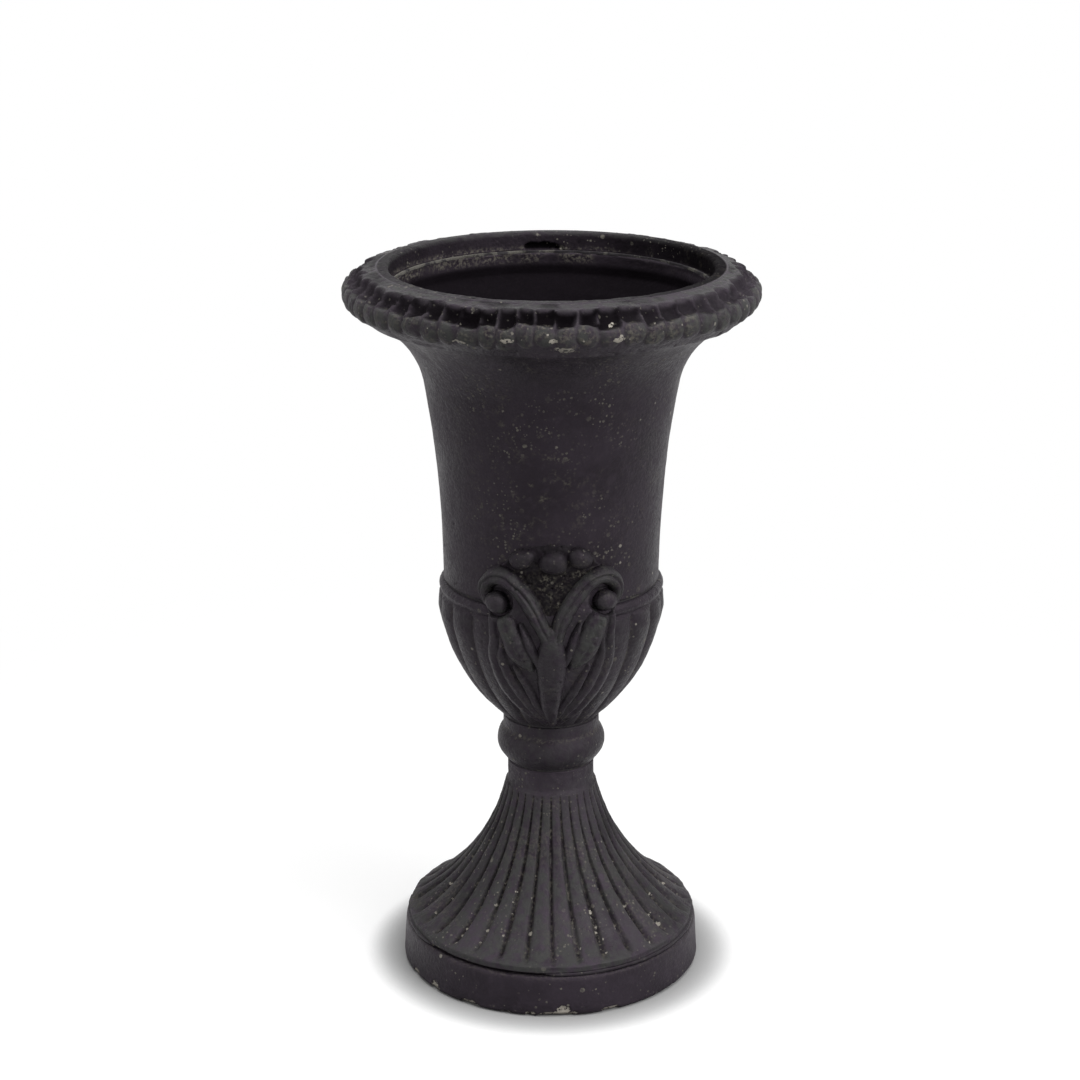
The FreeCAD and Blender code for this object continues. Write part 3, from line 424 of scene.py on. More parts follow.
def make_rim():
    """The rolled rim: a smooth lip, then 60 finger marks, each a hollow with a swelling under it; painted
    shade lies in the hollows, the mouth and the hole at its back.
    """
    middle, half_height = 521.0, 17.0
    over, over_width = 131.5, 18.8
    under, under_width = 130.0, 20.3
    loop = trace((MOUTH, RIM_LEDGE), (124.6, RIM_LEDGE, 4), (124.6, RIM_BOTTOM, 8), (under, RIM_BOTTOM, 2.7))
    for centre, half_width, start, end in ((under, under_width, -90, 0), (over, over_width, 0, 90)):
        for angle in np.linspace(start, end, 32)[:-1]:
            turn = math.radians(angle)
            loop.append((centre + half_width * math.cos(turn), middle + half_height * math.sin(turn)))
    loop += trace((over, 538.0), (123.6, 539.7, 1.1), (118.6, 539.9, 1.1), (MOUTH, 537.0, -0.85, 4),
                  (MOUTH, RIM_LEDGE, 0.9))
    rim = Turned(loop, 960)
    points = rim.points()
    mouth = (rim.radius < 123.7) & (rim.level > RIM_LEDGE + 0.2)
    outer = (((rim.radius > 125) & (rim.level > RIM_BOTTOM + 0.3)) | mouth) * 1.0
    height = (rim.level - middle) / half_height
    width = np.where(height > 0, (rim.radius - over) / over_width, (rim.radius - under) / under_width)
    around = from_front(rim.turn)
    # The marks crowd together a little left of the front: the tanh term holds one of the 60.
    phase = around * (FINGER_MARKS - 1) / (2 * math.pi) + 0.5 * np.tanh((around + 0.21) / 0.26)
    phase = phase + 0.13 * noise(points, 17, 90)
    phase += 0.07 * noise(points, 6.5, 86)
    number = np.round(phase).astype(np.int64)
    across = np.abs(phase - number) * 2
    own = np.stack([number % FINGER_MARKS, 0 * number, 0 * number], axis=-1)
    force = 0.78 + 0.44 * lattice(own, 91) + 0.25 * noise(points, 34, 87)
    # Angle about the roll's middle: 0 at the widest line and 90 on top.
    bend = np.degrees(np.arctan2(height, width)) + 12 * (lattice(own, 92) - 0.5) + 10 * noise(points, 11, 97)
    roll = (rim.radius > 128) * outer
    tall = 27 + 7 * lattice(own, 85)
    hollow = roll * np.clip(1 - across ** 3.4 - np.abs((bend - 55) / tall) ** 2.3, 0, 1) ** 0.6
    belly = roll * np.clip(1 - across ** 2.2 - np.abs((bend - 2) / 38) ** 2.4, 0, 1) ** 0.6
    sunk = roll * ramp(bend, 84, 52) * ramp(bend, -80, -48)
    ridge = np.exp(-((rim.radius - 117.5) / 1.6) ** 2) * ramp(rim.level, 536, 539)
    back = points[..., 1] > 0
    hole = mouth * back * patch(points, (-6.8, 115, 528.4), (15, 12, 3.8), 98)
    rim.swell(-4.6 * force * hollow + 2.0 * np.minimum(force, 1) * belly - 2.1 * sunk
              - 0.40 * outer + outer * wear(points, 20, 0.4, 92) + 0.4 * ridge * rough(points, 7, 95)
              + roll * 0.30 * rough(points, 5, 96) + outer * pitting(points, 7, 1.5, 1.0, 93, 0.5))
    rim.grow(5.0 * hole)
    rim.level = np.minimum(rim.level, RIM_TOP)
    rim.radius = np.minimum(rim.radius, RIM_REACH)
    front = ramp(-points[..., 1] / 150, 0.45, 0.95)
    placed = [
        ((8, -146, 511), (8.0, 9, 3.4)), ((1, -148, 519), (4, 8, 2.0)),
        ((44, -140, 519), (5.5, 9, 3.4)), ((40, -138, 531), (2.4, 9, 3.2)),
        ((-62, -131, 515), (6.0, 9, 1.8)), ((-30, -145, 519), (6.0, 9, 1.7)),
    ]
    chips = np.zeros(points.shape[:2])
    for index, (at, axes) in enumerate(placed):
        chips = np.maximum(chips, roll * patch(points, at, axes, 120 + index))
    # The pale spots on the front swellings are partly chips and partly a painted highlight.
    chips = np.maximum(chips, belly * front * ramp(spots(points, 6.5, 3.0, 94, 0.42), 0.30, 0.75))
    lee = np.sin(around)
    seam = mouth * ramp(rim.level, 531, 527) * ramp(rough(points, 12, 99) - 0.5 * lee, -0.3, 0.3)
    # The pale dust on the swellings, heaviest at the front, is partly dust and partly a painted highlight.
    dust = belly * (0.35 + 0.65 * front) * ramp(rough(points, 7, 89), -0.5, 0.5)
    dust = np.maximum(dust, seam * (1 - hole))
    dust = np.maximum(dust, 0.35 * ramp(rough(points, 10, 88), 0.25, 0.7) * ramp(bend, 72, 90) * outer)
    lip = outer * ramp(rim.level, 536.2, 538.4)
    # The greenish tone on the swellings is partly their own colour and partly a painted highlight.
    green = np.clip(belly + 0.2 * roll + 0.75 * lip * (1 - hollow), 0, 1)
    # Painted shade in the hollows, strongest a little left of the front, with some ridges between them left
    # unshaded.
    shade = 0.42 + 0.75 * np.exp(-((around + 0.18) / 0.8) ** 2)
    band = roll * ramp(np.abs(bend - 55) / tall, 1.08, 0.62)
    crest = across ** 5 * ramp(noise(points, 19, 83) + 0.6 * noise(points, 6, 82), -0.45, 0.25)
    # Painted shade inside the mouth, heavier on the right and also on the left.
    inside = mouth * np.clip(0.35 + 0.25 * lee + 0.5 * lee ** 2, 0, 1) * (1 - 0.6 * seam)
    # Painted shade in patches on the lip, more of them towards the left.
    patchy_side_shade = 0.55 * lip * ramp(rough(points, 18, 81) - 0.2 * lee, 0.0, 0.5)
    # Painted shade: the hollows, the hole at the back of the mouth, the mouth's walls and patches on the lip
    # together.
    painted_shade = np.maximum(np.maximum(shade * band * (1 - crest), hole), np.maximum(inside, patchy_side_shade))
    return rim.piece("rim", {"chip": chips, "dust": dust, "green": green, "painted_shade": painted_shade})


def make_rim_seam():
    """The mortar inside the mouth, squeezed out unevenly and painted over in places."""
    low, high = BELL_TOP + 0.05, RIM_LEDGE - 0.05
    loop = trace((114.1, low), (123.6, low, 3), (123.6, high, 1), (114.1, high, 3), (114.1, low, 0.3))
    seam = Turned(loop, 600)
    points = seam.points()
    inner = ramp(seam.radius, 116.5, 114.3)
    seam.grow(inner * (1.3 * rough(points, 9, 100) - 0.1))
    bare = ramp(rough(points, 13, 101) - 0.5 * np.sin(seam.turn - FRONT), -0.1, 0.5)
    return seam.piece("rim_seam", {"dust": bare})


def make_plinth_seam():
    """The bed under the foot: painted over flush, but for a ragged crease at the front left, sunk in and
    darkened with painted shade.
    """
    loop = trace((90.5, PLINTH_TOP), (109.4, PLINTH_TOP, 4), (109.4, FOOT_BOTTOM, 0.3),
                 (90.5, FOOT_BOTTOM, 4), (90.5, PLINTH_TOP, 0.8))
    bed = Turned(loop, 600)
    points = bed.points()
    face = ramp(bed.radius, 108, 109.3)
    around = np.degrees(from_front(bed.turn))
    crack = ramp(around, -60, -48) * ramp(around, 4, -8)
    crack = np.maximum(crack, ramp(rough(points, 30, 104), 0.35, 0.6))
    bed.grow(face * (1.1 + 0.7 * rough(points, 9, 102) - crack * (4.6 + 1.5 * rough(points, 6, 103))))
    # Painted shade in the crease.
    return bed.piece("plinth_seam", {"painted_shade": crack, "green": 0.4 * (1 - crack)})


# ---------------------------------------------------------------- ornament

def wall(level):
    """Radius of the bowl's outer surface over the lobes' crests."""
    bowl = np.where(level < GADROON_SHOULDER, on_line(CALYX_LINE, level), 84.0)
    share = ramp(level, 299, 327)
    return bowl * (1 - share) + on_line(SIDE_LINE, level) * share


def to_line(x, z, path):
    """Distance to a path of (x, z, width, height), and the width and height at the nearest place."""
    best = np.full(x.shape, 1e9)
    wide = np.zeros(x.shape)
    high = np.zeros(x.shape)
    side = np.zeros(x.shape)
    path = np.array(path, dtype=float)
    for a, b in zip(path[:-1], path[1:]):
        ux, uz = b[0] - a[0], b[1] - a[1]
        share = np.clip(((x - a[0]) * ux + (z - a[1]) * uz) / (ux * ux + uz * uz), 0, 1)
        dx, dz = x - a[0] - share * ux, z - a[1] - share * uz
        away = np.hypot(dx, dz)
        near = away < best
        best = np.where(near, away, best)
        wide = np.where(near, a[2] + share * (b[2] - a[2]), wide)
        high = np.where(near, a[3] + share * (b[3] - a[3]), high)
        side = np.where(near, np.sign(ux * dz - uz * dx) * away, side)
    return best, wide, high, side


def curve_through(points, count):
    """A smooth path through points of any number of values."""
    points = np.array(points, dtype=float)
    padded = np.vstack([2 * points[0] - points[1], points, 2 * points[-1] - points[-2]])
    out = []
    for index in range(len(points) - 1):
        p0, p1, p2, p3 = padded[index:index + 4]
        for share in np.linspace(0, 1, count, endpoint=False):
            out.append(0.5 * (2 * p1 + (p2 - p0) * share + (2 * p0 - 5 * p1 + 4 * p2 - p3) * share ** 2
                              + (3 * p1 - p0 - 3 * p2 + p3) * share ** 3))
    out.append(points[-1])
    return out


def strand(x, z, path, fullness=0.5):
    """Height of a rounded strand: an ellipse across its path."""
    away, wide, high, side = to_line(x, z, curve_through(path, 6))
    part = np.clip(1 - (away / np.maximum(wide, 0.01)) ** 2, 0, 1)
    return high * part ** fullness, side / np.maximum(wide, 0.01), part


def knob(x, z, at, axes, height, tilt=0.0, power=0.5):
    """Height of a rounded knob: half an ellipsoid about a place, tilted in degrees."""
    dx, dz = x - at[0], z - at[1]
    turn = math.radians(tilt)
    u = dx * math.cos(turn) + dz * math.sin(turn)
    v = -dx * math.sin(turn) + dz * math.cos(turn)
    part = np.clip(1 - (u / axes[0]) ** 2 - (v / axes[1]) ** 2, 0, 1)
    return height * part ** power, part


def motif_height(x, z):
    """How far the ornament stands off the wall, and its values of dust, green and painted shade, for points
    (x, z).
    """
    flat_points = np.stack([x, z * 0, z], axis=-1)
    x = x + 1.3 * noise(flat_points, 19, 118) + 0.35 * noise(flat_points, 6, 116)
    z = z + 1.3 * noise(flat_points, 19, 119) + 0.35 * noise(flat_points, 6, 117)
    sx = np.abs(x)
    plate_edge = np.interp(z, [204, 206, 226, 248, 278, 303, 316, 324, 331, 340, 348, 353, 356, 358, 362],
                           [0, 8, 21, 35.5, 43, 44.5, 49.4, 49.2, 43, 33, 29, 22, 9, -3, -14])
    inside = plate_edge - sx
    height = (0.5 + 1.1 * ramp(z, 325, 300)) * ramp(inside, -1.2, 1.5) - 6 * ramp(-inside, 0.2, 1.6)

    def lay(top):
        nonlocal height
        height = np.where(top > 0, np.maximum(height, top), height)

    blades = [
        [(5, 206, 2.6, 3.0), (19, 224, 4.2, 4.0), (33, 246, 4.6, 4.6), (40.5, 273, 4.2, 4.6),
         (42.5, 300, 2.6, 3.6)],
        [(4, 208, 2.2, 3.2), (15, 228, 3.8, 4.4), (26.5, 248, 4.2, 5.2), (34, 270, 3.6, 5.0),
         (36.5, 288, 1.6, 3.4)],
        [(3.5, 212, 2.0, 3.4), (11, 232, 3.2, 4.6), (19.5, 250, 3.2, 5.2), (26, 264, 1.8, 4.2)],
    ]
    for path in blades:
        top, _, _ = strand(sx, z, path, 0.62)
        lay(top)
    leaf, leaf_side, leaf_part = strand(sx, z, [
        (34, 305, 3.5, 5), (31.5, 298, 7.4, 7.6), (26.5, 285, 8.6, 8.2), (20.5, 273, 7.2, 7.6),
        (14.5, 263.5, 2.6, 5.0)], 0.42)
    lay(leaf * (1 - 0.10 * np.exp(-(leaf_side / 0.16) ** 2)))
    lobe_top, _, _ = strand(sx, z, [
        (20.5, 298, 1.6, 5.4), (16.5, 288, 3.4, 6.4), (12.8, 276, 3.4, 6.0), (10.5, 266, 1.6, 4.4)], 0.55)
    lay(lobe_top)
    tongue, _, _ = strand(x, z, [
        (0, 293, 3.5, 6.6), (0, 283, 8.2, 7.4), (0, 270, 11.2, 7.8), (0, 255, 10.2, 7.6), (0, 238, 8.0, 6.8),
        (0, 220, 5.2, 5.6), (0, 207, 3.0, 4.0)], 0.36)
    lay(tongue)
    ball, _ = knob(sx, z, (38.5, 311.5), (7.6, 7.6), 8.2)
    side_berry, _ = knob(sx, z, (20.4, 345.6), (9.6, 7.0), 8.2, -24)
    middle_berry, _ = knob(x, z, (1, 342.4), (10.6, 9.4), 9.0)
    bed, bed_part = knob(sx, z, (0, 330), (27, 26), 2.2, 0, 0.35)
    pits = ramp(spots(flat_points, 4.6, 2.4, 110, 0.75), 0.15, 0.7)
    lay(bed - 1.3 * pits * (bed_part > 0))
    lay(side_berry)
    lay(middle_berry)
    stalk, stalk_side, stalk_part = strand(sx, z, [
        (3.4, 281, 3.4, 6.2), (4.2, 290, 4.6, 7.6), (7.4, 299.5, 5.4, 8.6), (12.2, 308.5, 5.9, 9.2),
        (17.6, 317.2, 6.3, 9.4), (23.9, 325.2, 6.4, 9.6), (31.2, 330.6, 6.2, 9.6), (39.2, 330.2, 5.8, 9.2),
        (45.0, 324.4, 4.8, 8.6), (46.6, 316.5, 3.4, 7.4), (45.4, 309.5, 1.6, 4.6)], 0.45)
    crease = np.exp(-((stalk_side - 0.12) / 0.17) ** 2) * ramp(stalk_part, 0.0, 0.3)
    lay(stalk * (1 - 0.20 * crease))
    moat_away = np.hypot(sx - 38.5, z - 311.5)
    towards = (sx - 38.5) * -0.80 + (z - 311.5) * -0.45
    hollow = np.exp(-((moat_away - 9.2) / 1.5) ** 2) * ramp(towards, -2.0, 4.5)
    height = height - hollow * 6.5 * (height > -1)
    lay(ball * (height > -2))
    low_hollow = np.exp(-((moat_away - 8.8) / 1.1) ** 2) * ramp(stalk_part, 0.5, 0.0)
    height = height - 1.4 * low_hollow * (inside > 1)
    uneven = 0.45 * rough(flat_points, 4.5, 111) + 0.55 * rough(flat_points, 11, 120)
    height = height + uneven * (inside > 0)
    height = height - 0.9 * leaf_part * ramp(spots(flat_points, 4.2, 1.9, 121, 0.6), 0, 0.6) * (z > 262)
    lines = np.sin(z * 2.1 + 1.2 * noise(flat_points, 9, 113)) * np.exp(-(x / 12) ** 2) * ramp(z, 262, 276)
    height = height + 0.10 * lines * ramp(z, 296, 286)
    height = height - 1.2 * ramp(spots(flat_points, 12, 1.9, 112, 0.35), 0, 0.6) * (inside > 2)
    shallow = np.maximum(height, 0)
    # Painted shade in the hollows: the more a point sits below its neighbours, the darker.
    painted_shade = ramp(box_blur(shallow, 30) - shallow, 0.4, 2.6) * ramp(inside, -1, 1)
    painted_shade = np.maximum(painted_shade, ramp(box_blur(shallow, 6) - shallow, 0.15, 0.9))
    # Painted shade in the recess behind the berries, between them and over the berries.
    recess = (bed_part > 0) * (bed > height - 1.4) * ramp(z, 343, 335)
    between = ramp(z, 333, 339) * ramp(height, 5.5, 2.5) * ramp(inside, 0, 2)
    painted_shade = np.maximum(painted_shade, np.maximum(0.75 * recess, np.maximum(0.6 * between, 0.3 * ramp(z, 333, 339))))
    dust = recess * (0.2 + 0.8 * ramp(rough(flat_points, 6, 115), -0.1, 0.5))
    dust = np.maximum(dust, 0.3 * ramp(rough(flat_points, 9, 114), 0.1, 0.6))
    green = 0.35 + 0.65 * leaf_part * (z > 262) + 0.4 * (stalk_part > 0)
    return height, {"dust": dust, "green": np.clip(green, 0, 1), "painted_shade": painted_shade}


def box_blur(values, times):
    """Spread each value over its four neighbours, again and again."""
    for _ in range(times):
        padded = np.pad(values, 1, mode="edge")
        values = (padded[1:-1, 1:-1] * 4 + padded[:-2, 1:-1] + padded[2:, 1:-1]
                  + padded[1:-1, :-2] + padded[1:-1, 2:]) / 8
    return values


def make_ornament(name, half_turn):
    """The carved casting as one closed skin: a relief over the wall and a plain back sunk in it."""
    xs = np.linspace(-52, 52, 232)
    zs = np.linspace(203, 361, 352)
    x, z = np.meshgrid(xs, zs)
    height, layers = motif_height(x, z)
    height = box_blur(height, 2)
    smooth_wall = box_blur(wall(z), 12)
    y = -np.sqrt(np.maximum(smooth_wall ** 2 - x ** 2, 1.0))
    slope = np.gradient(smooth_wall, zs, axis=0)
    normal = np.stack([x / smooth_wall, y / smooth_wall, -slope], axis=-1)
    normal /= np.linalg.norm(normal, axis=-1, keepdims=True)
    surface = np.stack([x, y, z], axis=-1)
    front = surface + height[..., None] * normal
    back = surface - 6.5 * normal
    kept = height > -5.2
    cell = kept[:-1, :-1] | kept[1:, :-1] | kept[:-1, 1:] | kept[1:, 1:]
    rows, columns = x.shape
    index = np.arange(rows * columns).reshape(rows, columns)
    a, b = index[:-1, :-1][cell], index[:-1, 1:][cell]
    c, d = index[1:, 1:][cell], index[1:, :-1][cell]
    offset = rows * columns
    faces = np.concatenate([np.stack([a, b, c, d], 1), np.stack([a, d, c, b], 1) + offset])
    edges = {}
    for quad in np.stack([a, b, c, d], 1):
        for first, second in zip(quad, np.roll(quad, -1)):
            edges[(first, second)] = None
    sides = [(second, first, first + offset, second + offset) for first, second in edges
             if (second, first) not in edges]
    faces = faces.tolist() + [[int(v) for v in side] for side in sides]
    points = np.concatenate([front.reshape(-1, 3), back.reshape(-1, 3)])
    used = np.zeros(len(points), bool)
    used[np.array([v for face in faces for v in face])] = True
    renumber = np.cumsum(used) - 1
    faces = [[int(renumber[v]) for v in face] for face in faces]
    layers = {key: np.concatenate([value.ravel(), value.ravel()])[used] for key, value in layers.items()}
    points = points[used]
    if half_turn:
        points = points * [-1, -1, 1]
    return add_piece(name, points, faces, layers)


# ---------------------------------------------------------------- materials

CELL_WANDER = 1.1  # how far the outlines of the cells stray, in mm


class Nodes:
    """Short ways to add and join the nodes of a tree."""

    def __init__(self, tree):
        self.tree = tree
        tree.nodes.clear()

    def add(self, kind, **settings):
        node = self.tree.nodes.new(kind)
        for key, value in settings.items():
            setattr(node, key, value)
        return node

    def join(self, output, socket):
        self.tree.links.new(output, socket)

    def feed(self, socket, value):
        if hasattr(value, "links"):
            self.join(value, socket)
        else:
            socket.default_value = value

    def math(self, operation, first, second=0.0, clamp=False):
        node = self.add("ShaderNodeMath", operation=operation, use_clamp=clamp)
        self.feed(node.inputs[0], first)
        self.feed(node.inputs[1], second)
        return node.outputs[0]

    def times(self, first, second, clamp=False):
        return self.math("MULTIPLY", first, second, clamp)

    def seen(self):
        """1 for the rays that show the studio, and 0 for those that carry its light to the urn."""
        ray = self.add("ShaderNodeLightPath").outputs
        seen = self.math("MAXIMUM", ray["Is Camera Ray"], ray["Is Transmission Ray"])
        return self.math("MAXIMUM", seen, ray["Is Glossy Ray"])

    def whiteness(self, seen):
        """The studio's own light: white where it's seen, and WORLD_LEVEL where it lights the urn."""
        return self.math("ADD", self.times(seen, 1 - WORLD_LEVEL), WORLD_LEVEL)


class Surface(Nodes):
    """The nodes of one material, which work in mm."""

    def __init__(self, name):
        self.material = bpy.data.materials.new(name)
        self.material.use_nodes = True
        super().__init__(self.material.node_tree)
        self.out = self.add("ShaderNodeOutputMaterial")
        self.shader = self.add("ShaderNodeBsdfPrincipled")
        self.join(self.shader.outputs[0], self.out.inputs[0])
        scale = self.add("ShaderNodeVectorMath", operation="SCALE")
        self.join(self.add("ShaderNodeTexCoord").outputs["Object"], scale.inputs[0])
        scale.inputs["Scale"].default_value = 1 / MM
        self.place = scale.outputs[0]

    def shade(self, name, value):
        """Feed one of the shader's inputs."""
        self.feed(self.shader.inputs[name], value)

    def noise(self, grain, detail, roughness=0.55):
        """Noise with lumps about one grain across."""
        node = self.add("ShaderNodeTexNoise")
        self.join(self.place, node.inputs["Vector"])
        node.inputs["Scale"].default_value = 1 / grain
        node.inputs["Detail"].default_value = detail
        node.inputs["Roughness"].default_value = roughness
        return node.outputs["Fac"]

    def cells(self, spacing, offset):
        """Distance and colour of scattered cells whose outlines wander."""
        wander = self.add("ShaderNodeTexNoise")
        self.join(self.place, wander.inputs["Vector"])
        wander.inputs["Scale"].default_value = 0.9
        wander.inputs["Detail"].default_value = 3.0
        spread = self.add("ShaderNodeVectorMath", operation="MULTIPLY_ADD")
        self.join(wander.outputs["Color"], spread.inputs[0])
        spread.inputs[1].default_value = (CELL_WANDER,) * 3
        spread.inputs[2].default_value = (offset, offset * 0.7, offset * 1.3)
        shift = self.add("ShaderNodeVectorMath", operation="ADD")
        self.join(self.place, shift.inputs[0])
        self.join(spread.outputs[0], shift.inputs[1])
        node = self.add("ShaderNodeTexVoronoi")
        self.join(shift.outputs[0], node.inputs["Vector"])
        node.inputs["Scale"].default_value = 1 / spacing
        return node.outputs["Distance"], node.outputs["Color"]

    def span(self, value, low, high, out_low=0.0, out_high=1.0):
        """A smooth step from out_low at low to out_high at high."""
        node = self.add("ShaderNodeMapRange", interpolation_type="SMOOTHSTEP")
        self.feed(node.inputs["Value"], value)
        limits = {"From Min": low, "From Max": high, "To Min": out_low, "To Max": out_high}
        for socket, number in limits.items():
            node.inputs[socket].default_value = number
        return node.outputs[0]

    def mix(self, share, first, second):
        node = self.add("ShaderNodeMix", data_type="RGBA")
        self.feed(node.inputs[0], share)
        self.feed(node.inputs[6], first)
        self.feed(node.inputs[7], second)
        return node.outputs[2]

    def layer(self, name):
        """One of the values that add_piece wrote on the points."""
        return self.add("ShaderNodeAttribute", attribute_name=name).outputs["Fac"]

    def bump(self, height, strength, distance, normal=None):
        node = self.add("ShaderNodeBump")
        node.inputs["Strength"].default_value = strength
        node.inputs["Distance"].default_value = distance * MM
        self.join(height, node.inputs["Height"])
        if normal is not None:
            self.join(normal, node.inputs["Normal"])
        return node.outputs[0]


def speckle(nodes, spacing, biggest, share, seed_offset):
    """Small round specks: a share of the cells hold one, each of its own size."""
    distance, colour = nodes.cells(spacing, seed_offset)
    split = nodes.add("ShaderNodeSeparateColor")
    nodes.join(colour, split.inputs[0])
    size = nodes.times(split.outputs[1], biggest / spacing)
    inside = nodes.math("SUBTRACT", size, distance)
    spot = nodes.span(inside, 0.0, 0.06)
    kept = nodes.math("LESS_THAN", split.outputs[0], share)
    return nodes.times(spot, kept)


def black_stone(name, speck_layer=True, speck_share=0.16, base=0.018, gloss=0.44, grit=1.0):
    """Cast stone under satin black paint, with pale specks, dust in the recesses, bare chips and painted
    shade.
    """
    nodes = Surface(name)
    broad = nodes.noise(38.0, 3.0)
    middle = nodes.noise(7.0, 4.0)
    fine = nodes.noise(0.9, 4.0, 0.65)
    grain = nodes.noise(2.4, 3.0, 0.6)

    def tone(level):
        return (base * level, base * level * 0.80, base * level * 1.04, 1)

    colour = nodes.mix(nodes.span(broad, 0.32, 0.68), tone(0.75), tone(1.45))
    colour = nodes.mix(nodes.times(nodes.span(middle, 0.48, 0.72), 0.45), colour, tone(2.0))
    green = nodes.times(nodes.layer("green"), nodes.span(middle, 0.34, 0.60))
    colour = nodes.mix(nodes.times(green, 0.75), colour, (0.046, 0.050, 0.044, 1))
    # Painted shade: the colour goes towards near black where the pieces carry shade.
    dark = nodes.times(nodes.layer("painted_shade"), 0.95, clamp=True)
    colour = nodes.mix(dark, colour, (base * 0.14, base * 0.11, base * 0.14, 1))
    dusty = nodes.times(nodes.layer("dust"), nodes.span(grain, 0.44, 0.64))
    colour = nodes.mix(nodes.times(dusty, 0.75), colour, (0.13, 0.12, 0.10, 1))
    patchy = nodes.span(nodes.noise(30.0, 2.0), 0.40, 0.64)
    if speck_layer:
        patchy = nodes.times(patchy, nodes.layer("speck"))
    small = speckle(nodes, 2.6, 1.15, speck_share * 1.8, 11.0)
    large = speckle(nodes, 7.5, 2.4, speck_share, 37.0)
    dots = nodes.times(nodes.math("MAXIMUM", small, large), patchy)
    strength = nodes.span(nodes.noise(4.0, 2.0), 0.35, 0.65, 0.25, 1.0)
    dots = nodes.times(dots, strength)
    colour = nodes.mix(dots, colour, (0.155, 0.146, 0.124, 1))
    rare = speckle(nodes, 12.0, 2.0, 0.22, 71.0)
    colour = nodes.mix(nodes.times(rare, 0.8), colour, (0.28, 0.262, 0.225, 1))
    bare = nodes.times(nodes.layer("chip"), nodes.span(grain, 0.36, 0.54))
    colour = nodes.mix(nodes.span(bare, 0.25, 0.6), colour, (0.36, 0.335, 0.29, 1))
    nodes.shade("Base Color", colour)
    worn = nodes.math("MAXIMUM", nodes.math("MAXIMUM", dots, bare), nodes.times(dusty, 0.8))
    worn = nodes.math("MAXIMUM", worn, nodes.times(green, 0.5))
    worn = nodes.math("MAXIMUM", worn, nodes.layer("painted_shade"))
    both = nodes.math("ADD", nodes.times(broad, 0.5), nodes.times(grain, 0.5))
    shine = nodes.span(both, 0.38, 0.62, gloss - 0.07, gloss + 0.12)
    nodes.shade("Roughness", nodes.math("ADD", shine, nodes.times(worn, 0.35), clamp=True))
    # Less sheen under the painted shade, which darkens it further.
    nodes.shade("Specular IOR Level", nodes.span(nodes.layer("painted_shade"), 0.0, 1.0, 0.16, 0.03))
    nodes.shade("Specular Tint", (1.0, 0.84, 1.0, 1))
    lumps = nodes.bump(middle, 0.20 * grit, 1.2)
    relief = nodes.math("SUBTRACT", nodes.span(grain, 0.30, 0.62), nodes.times(dots, 0.6))
    pitted = nodes.bump(relief, 0.40 * grit, 0.5, lumps)
    nodes.shade("Normal", nodes.bump(fine, 0.30 * grit, 0.16, pitted))
    return nodes.material


def mortar(name, pale):
    """Rough lime mortar, smeared with black paint."""
    nodes = Surface(name)
    grain = nodes.noise(1.1, 4.0, 0.7)
    smear = nodes.math("ADD", nodes.noise(9.0, 4.0, 0.6), nodes.times(nodes.layer("dust"), -0.16))
    colour = nodes.mix(nodes.span(grain, 0.3, 0.7), (pale * 0.6, pale * 0.56, pale * 0.48, 1),
                       (pale * 1.15, pale * 1.08, pale * 0.95, 1))
    colour = nodes.mix(nodes.span(smear, 0.36, 0.48), colour, (0.014, 0.011, 0.014, 1))
    nodes.shade("Base Color", colour)
    nodes.shade("Roughness", nodes.span(grain, 0.2, 0.8, 0.75, 0.95))
    nodes.shade("Normal", nodes.bump(grain, 0.5, 0.5))
    return nodes.material


def zinc(name):
    """Dull zinc plate with a little rust."""
    nodes = Surface(name)
    bloom = nodes.noise(3.0, 4.0, 0.6)
    stain = nodes.noise(9.0, 3.0)
    colour = nodes.mix(nodes.span(bloom, 0.3, 0.7), (0.44, 0.45, 0.47, 1), (0.60, 0.60, 0.60, 1))
    rust = nodes.times(nodes.span(stain, 0.58, 0.75), 0.6)
    colour = nodes.mix(rust, colour, (0.20, 0.13, 0.08, 1))
    nodes.shade("Base Color", colour)
    nodes.shade("Metallic", 1.0)
    nodes.shade("Roughness", nodes.span(bloom, 0.2, 0.8, 0.36, 0.6))
    nodes.shade("Normal", nodes.bump(bloom, 0.25, 0.2))
    return nodes.material


def rubber(name):
    """Matte black rubber."""
    nodes = Surface(name)
    grain = nodes.noise(0.8, 3.0)
    bloom = nodes.noise(6.0, 3.0)
    colour = nodes.mix(nodes.span(bloom, 0.35, 0.7), (0.018, 0.018, 0.018, 1), (0.045, 0.043, 0.04, 1))
    nodes.shade("Base Color", colour)
    nodes.shade("Roughness", nodes.span(grain, 0.3, 0.7, 0.7, 0.85))
    nodes.shade("Normal", nodes.bump(grain, 0.3, 0.15))
    return nodes.material


# ---------------------------------------------------------------- the urn

